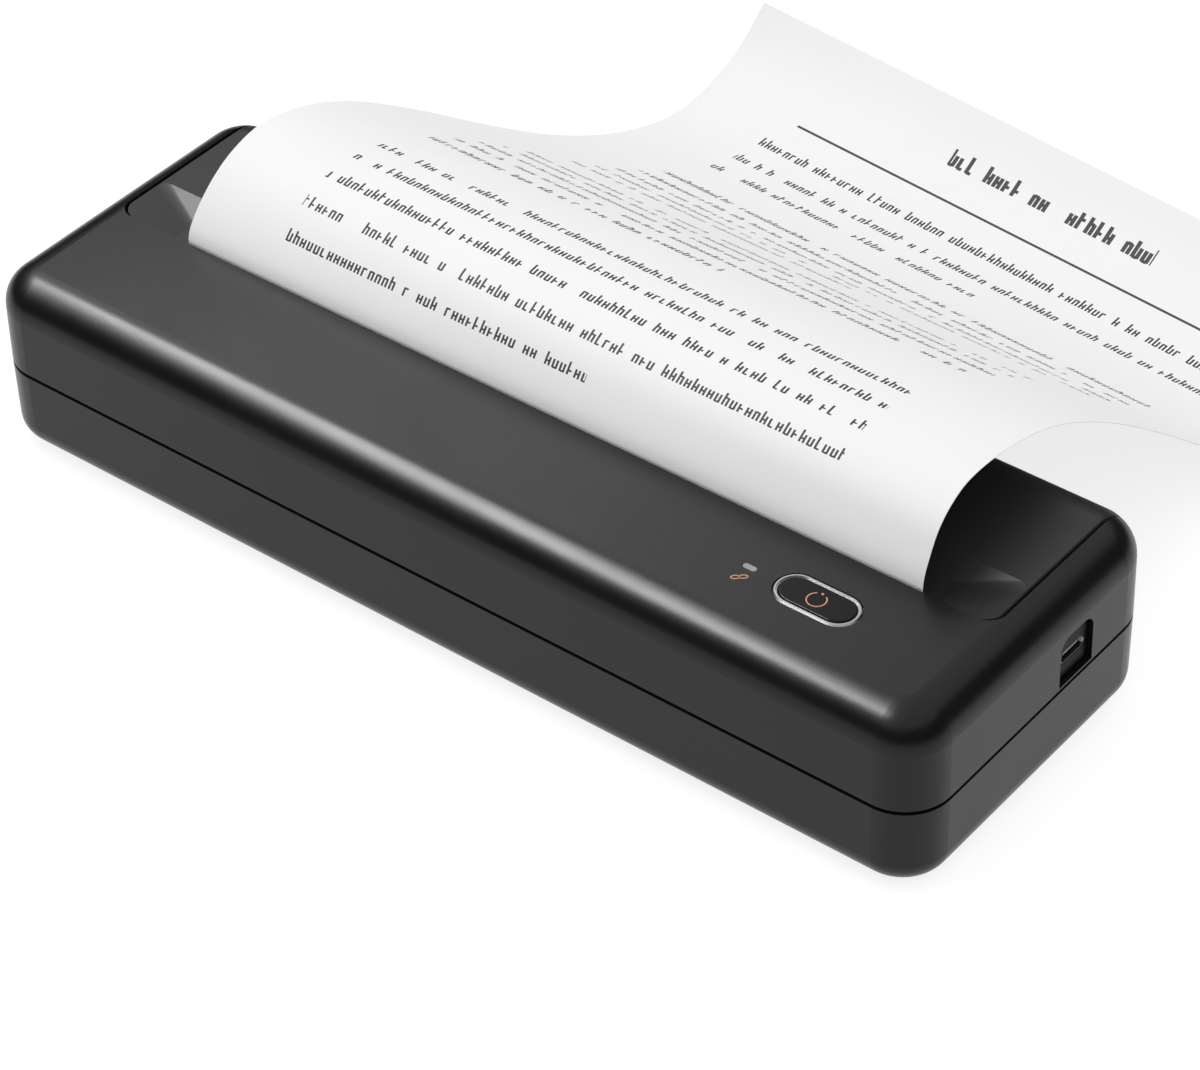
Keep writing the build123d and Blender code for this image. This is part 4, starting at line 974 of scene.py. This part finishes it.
dress(frosted_acrylic(), "status_light")
case_top, link_turn, link_step = 0.048, radians(41), 0.00085
links_x, links_y = 0.0736, -0.02605
link_outline, link_hole = (0.0011, 0.00068), (0.00082, 0.00040)
links = bmesh.new()
for step in (-link_step, link_step):
    link_x, link_y = links_x + step * cos(link_turn), links_y + step * sin(link_turn)
    seat = Matrix.Translation((link_x, link_y, case_top))
    seat @= Euler((0, 0, link_turn)).to_matrix().to_4x4()
    rims = []
    for half_length, half_width in (link_outline, link_hole):
        rim = bmesh.ops.create_circle(
            links, cap_ends=False, segments=28, radius=1.0,
            matrix=seat @ Matrix.Diagonal((half_length, half_width, 1, 1)),
        )["verts"]
        rims += list({edge for vertex in rim for edge in vertex.link_edges})
    flat = bmesh.ops.bridge_loops(links, edges=rims)["faces"]
    raised = bmesh.ops.extrude_face_region(links, geom=flat)["geom"]
    lifted = [item for item in raised if isinstance(item, bmesh.types.BMVert)]
    bmesh.ops.translate(links, verts=lifted, vec=(0, 0, ink_height))
printed_sign("link_sign", links, "base")


# ---- table ----
# A white table top under the printer, wide enough to fill the view. It looks
# white to the eye and in gloss, but throws little light on the printer.
def looked_at(tree):
    """1 on camera, glossy and transmission rays, and 0 on those that light the object."""
    path = place(tree, "LightPath").outputs
    through = maths(tree, "MAXIMUM", path["Is Glossy Ray"], path["Is Transmission Ray"])
    return maths(tree, "MAXIMUM", path["Is Camera Ray"], through)


def white_table():
    grey, glow_level = 0.32, 0.8
    material = bpy.data.materials.new("white_table")
    material.use_nodes = True
    tree = material.node_tree
    tree.nodes.clear()
    matt = place(tree, "BsdfDiffuse", {"Color": (grey, grey, grey, 1)}).outputs[0]
    strength = maths(tree, "MULTIPLY", looked_at(tree), glow_level)
    glow = place(tree, "Emission", {"Strength": strength}).outputs[0]
    surface = place(tree, "AddShader", {0: matt, 1: glow}).outputs[0]
    place(tree, "OutputMaterial", {"Surface": surface})
    return material


ground = bmesh.new()
bmesh.ops.create_grid(ground, x_segments=1, y_segments=1, size=6.0)
built("table_top", ground, white_table())


# ---- lamps ----
# A long soft box overhead and a square one behind draw the highlights, and a
# wide one fills the shade. A ring of dark cloth, seen only in gloss, keeps the
# case's walls from mirroring the white room.
def soft_box(name, direction, distance, size, watts, in_gloss):
    lamp = bpy.data.lights.new(name, "AREA")
    lamp.shape, lamp.size, lamp.size_y, lamp.energy = "RECTANGLE", *size, watts
    made = shown(name, lamp)
    towards = Vector(direction).normalized()
    turned = towards.to_track_quat("Z", "Y").to_matrix().to_4x4()
    made.matrix_world = Matrix.Translation(towards * distance) @ turned
    made.visible_diffuse, made.visible_glossy = not in_gloss, in_gloss


soft_box("overhead_box", (-0.49, -0.22, 0.84), 1.4, (1.15, 0.28), 38.0, in_gloss=True)
soft_box("back_box", (-0.66, 0.46, 0.60), 1.6, (0.8, 0.8), 4.2, in_gloss=True)
soft_box("fill_box", (-0.30, -0.10, 0.95), 1.4, (0.9, 0.9), 3.5, in_gloss=False)
ring_radius, ring_height = 0.55, 0.36
ring = bmesh.new()
bmesh.ops.create_cone(
    ring, cap_ends=False, segments=64, radius1=ring_radius, radius2=ring_radius,
    depth=ring_height, matrix=Matrix.Translation((0, 0, ring_height / 2)),
)
dark_cloth = shader_of("curtain_cloth", Base_Color=(0.02, 0.02, 0.02, 1), Roughness=1.0)[0]
curtain = built("dark_curtain", ring, dark_cloth)
curtain.visible_camera = curtain.visible_diffuse = False
curtain.visible_shadow = curtain.visible_transmission = False
room = bpy.data.worlds.new("white_room")
bpy.context.scene.world = room
room.use_nodes = True
room_tree = room.node_tree
room_tree.nodes.clear()
light_on_object, light_in_view = 0.92, 1.0
room_strength = spread(room_tree, looked_at(room_tree), light_on_object, light_in_view)
room_light = place(
    room_tree, "Background", {"Color": (1, 1, 1, 1), "Strength": room_strength}
).outputs[0]
place(room_tree, "OutputWorld", {"Surface": room_light})

bpy.context.scene.view_settings.view_transform = "Standard"
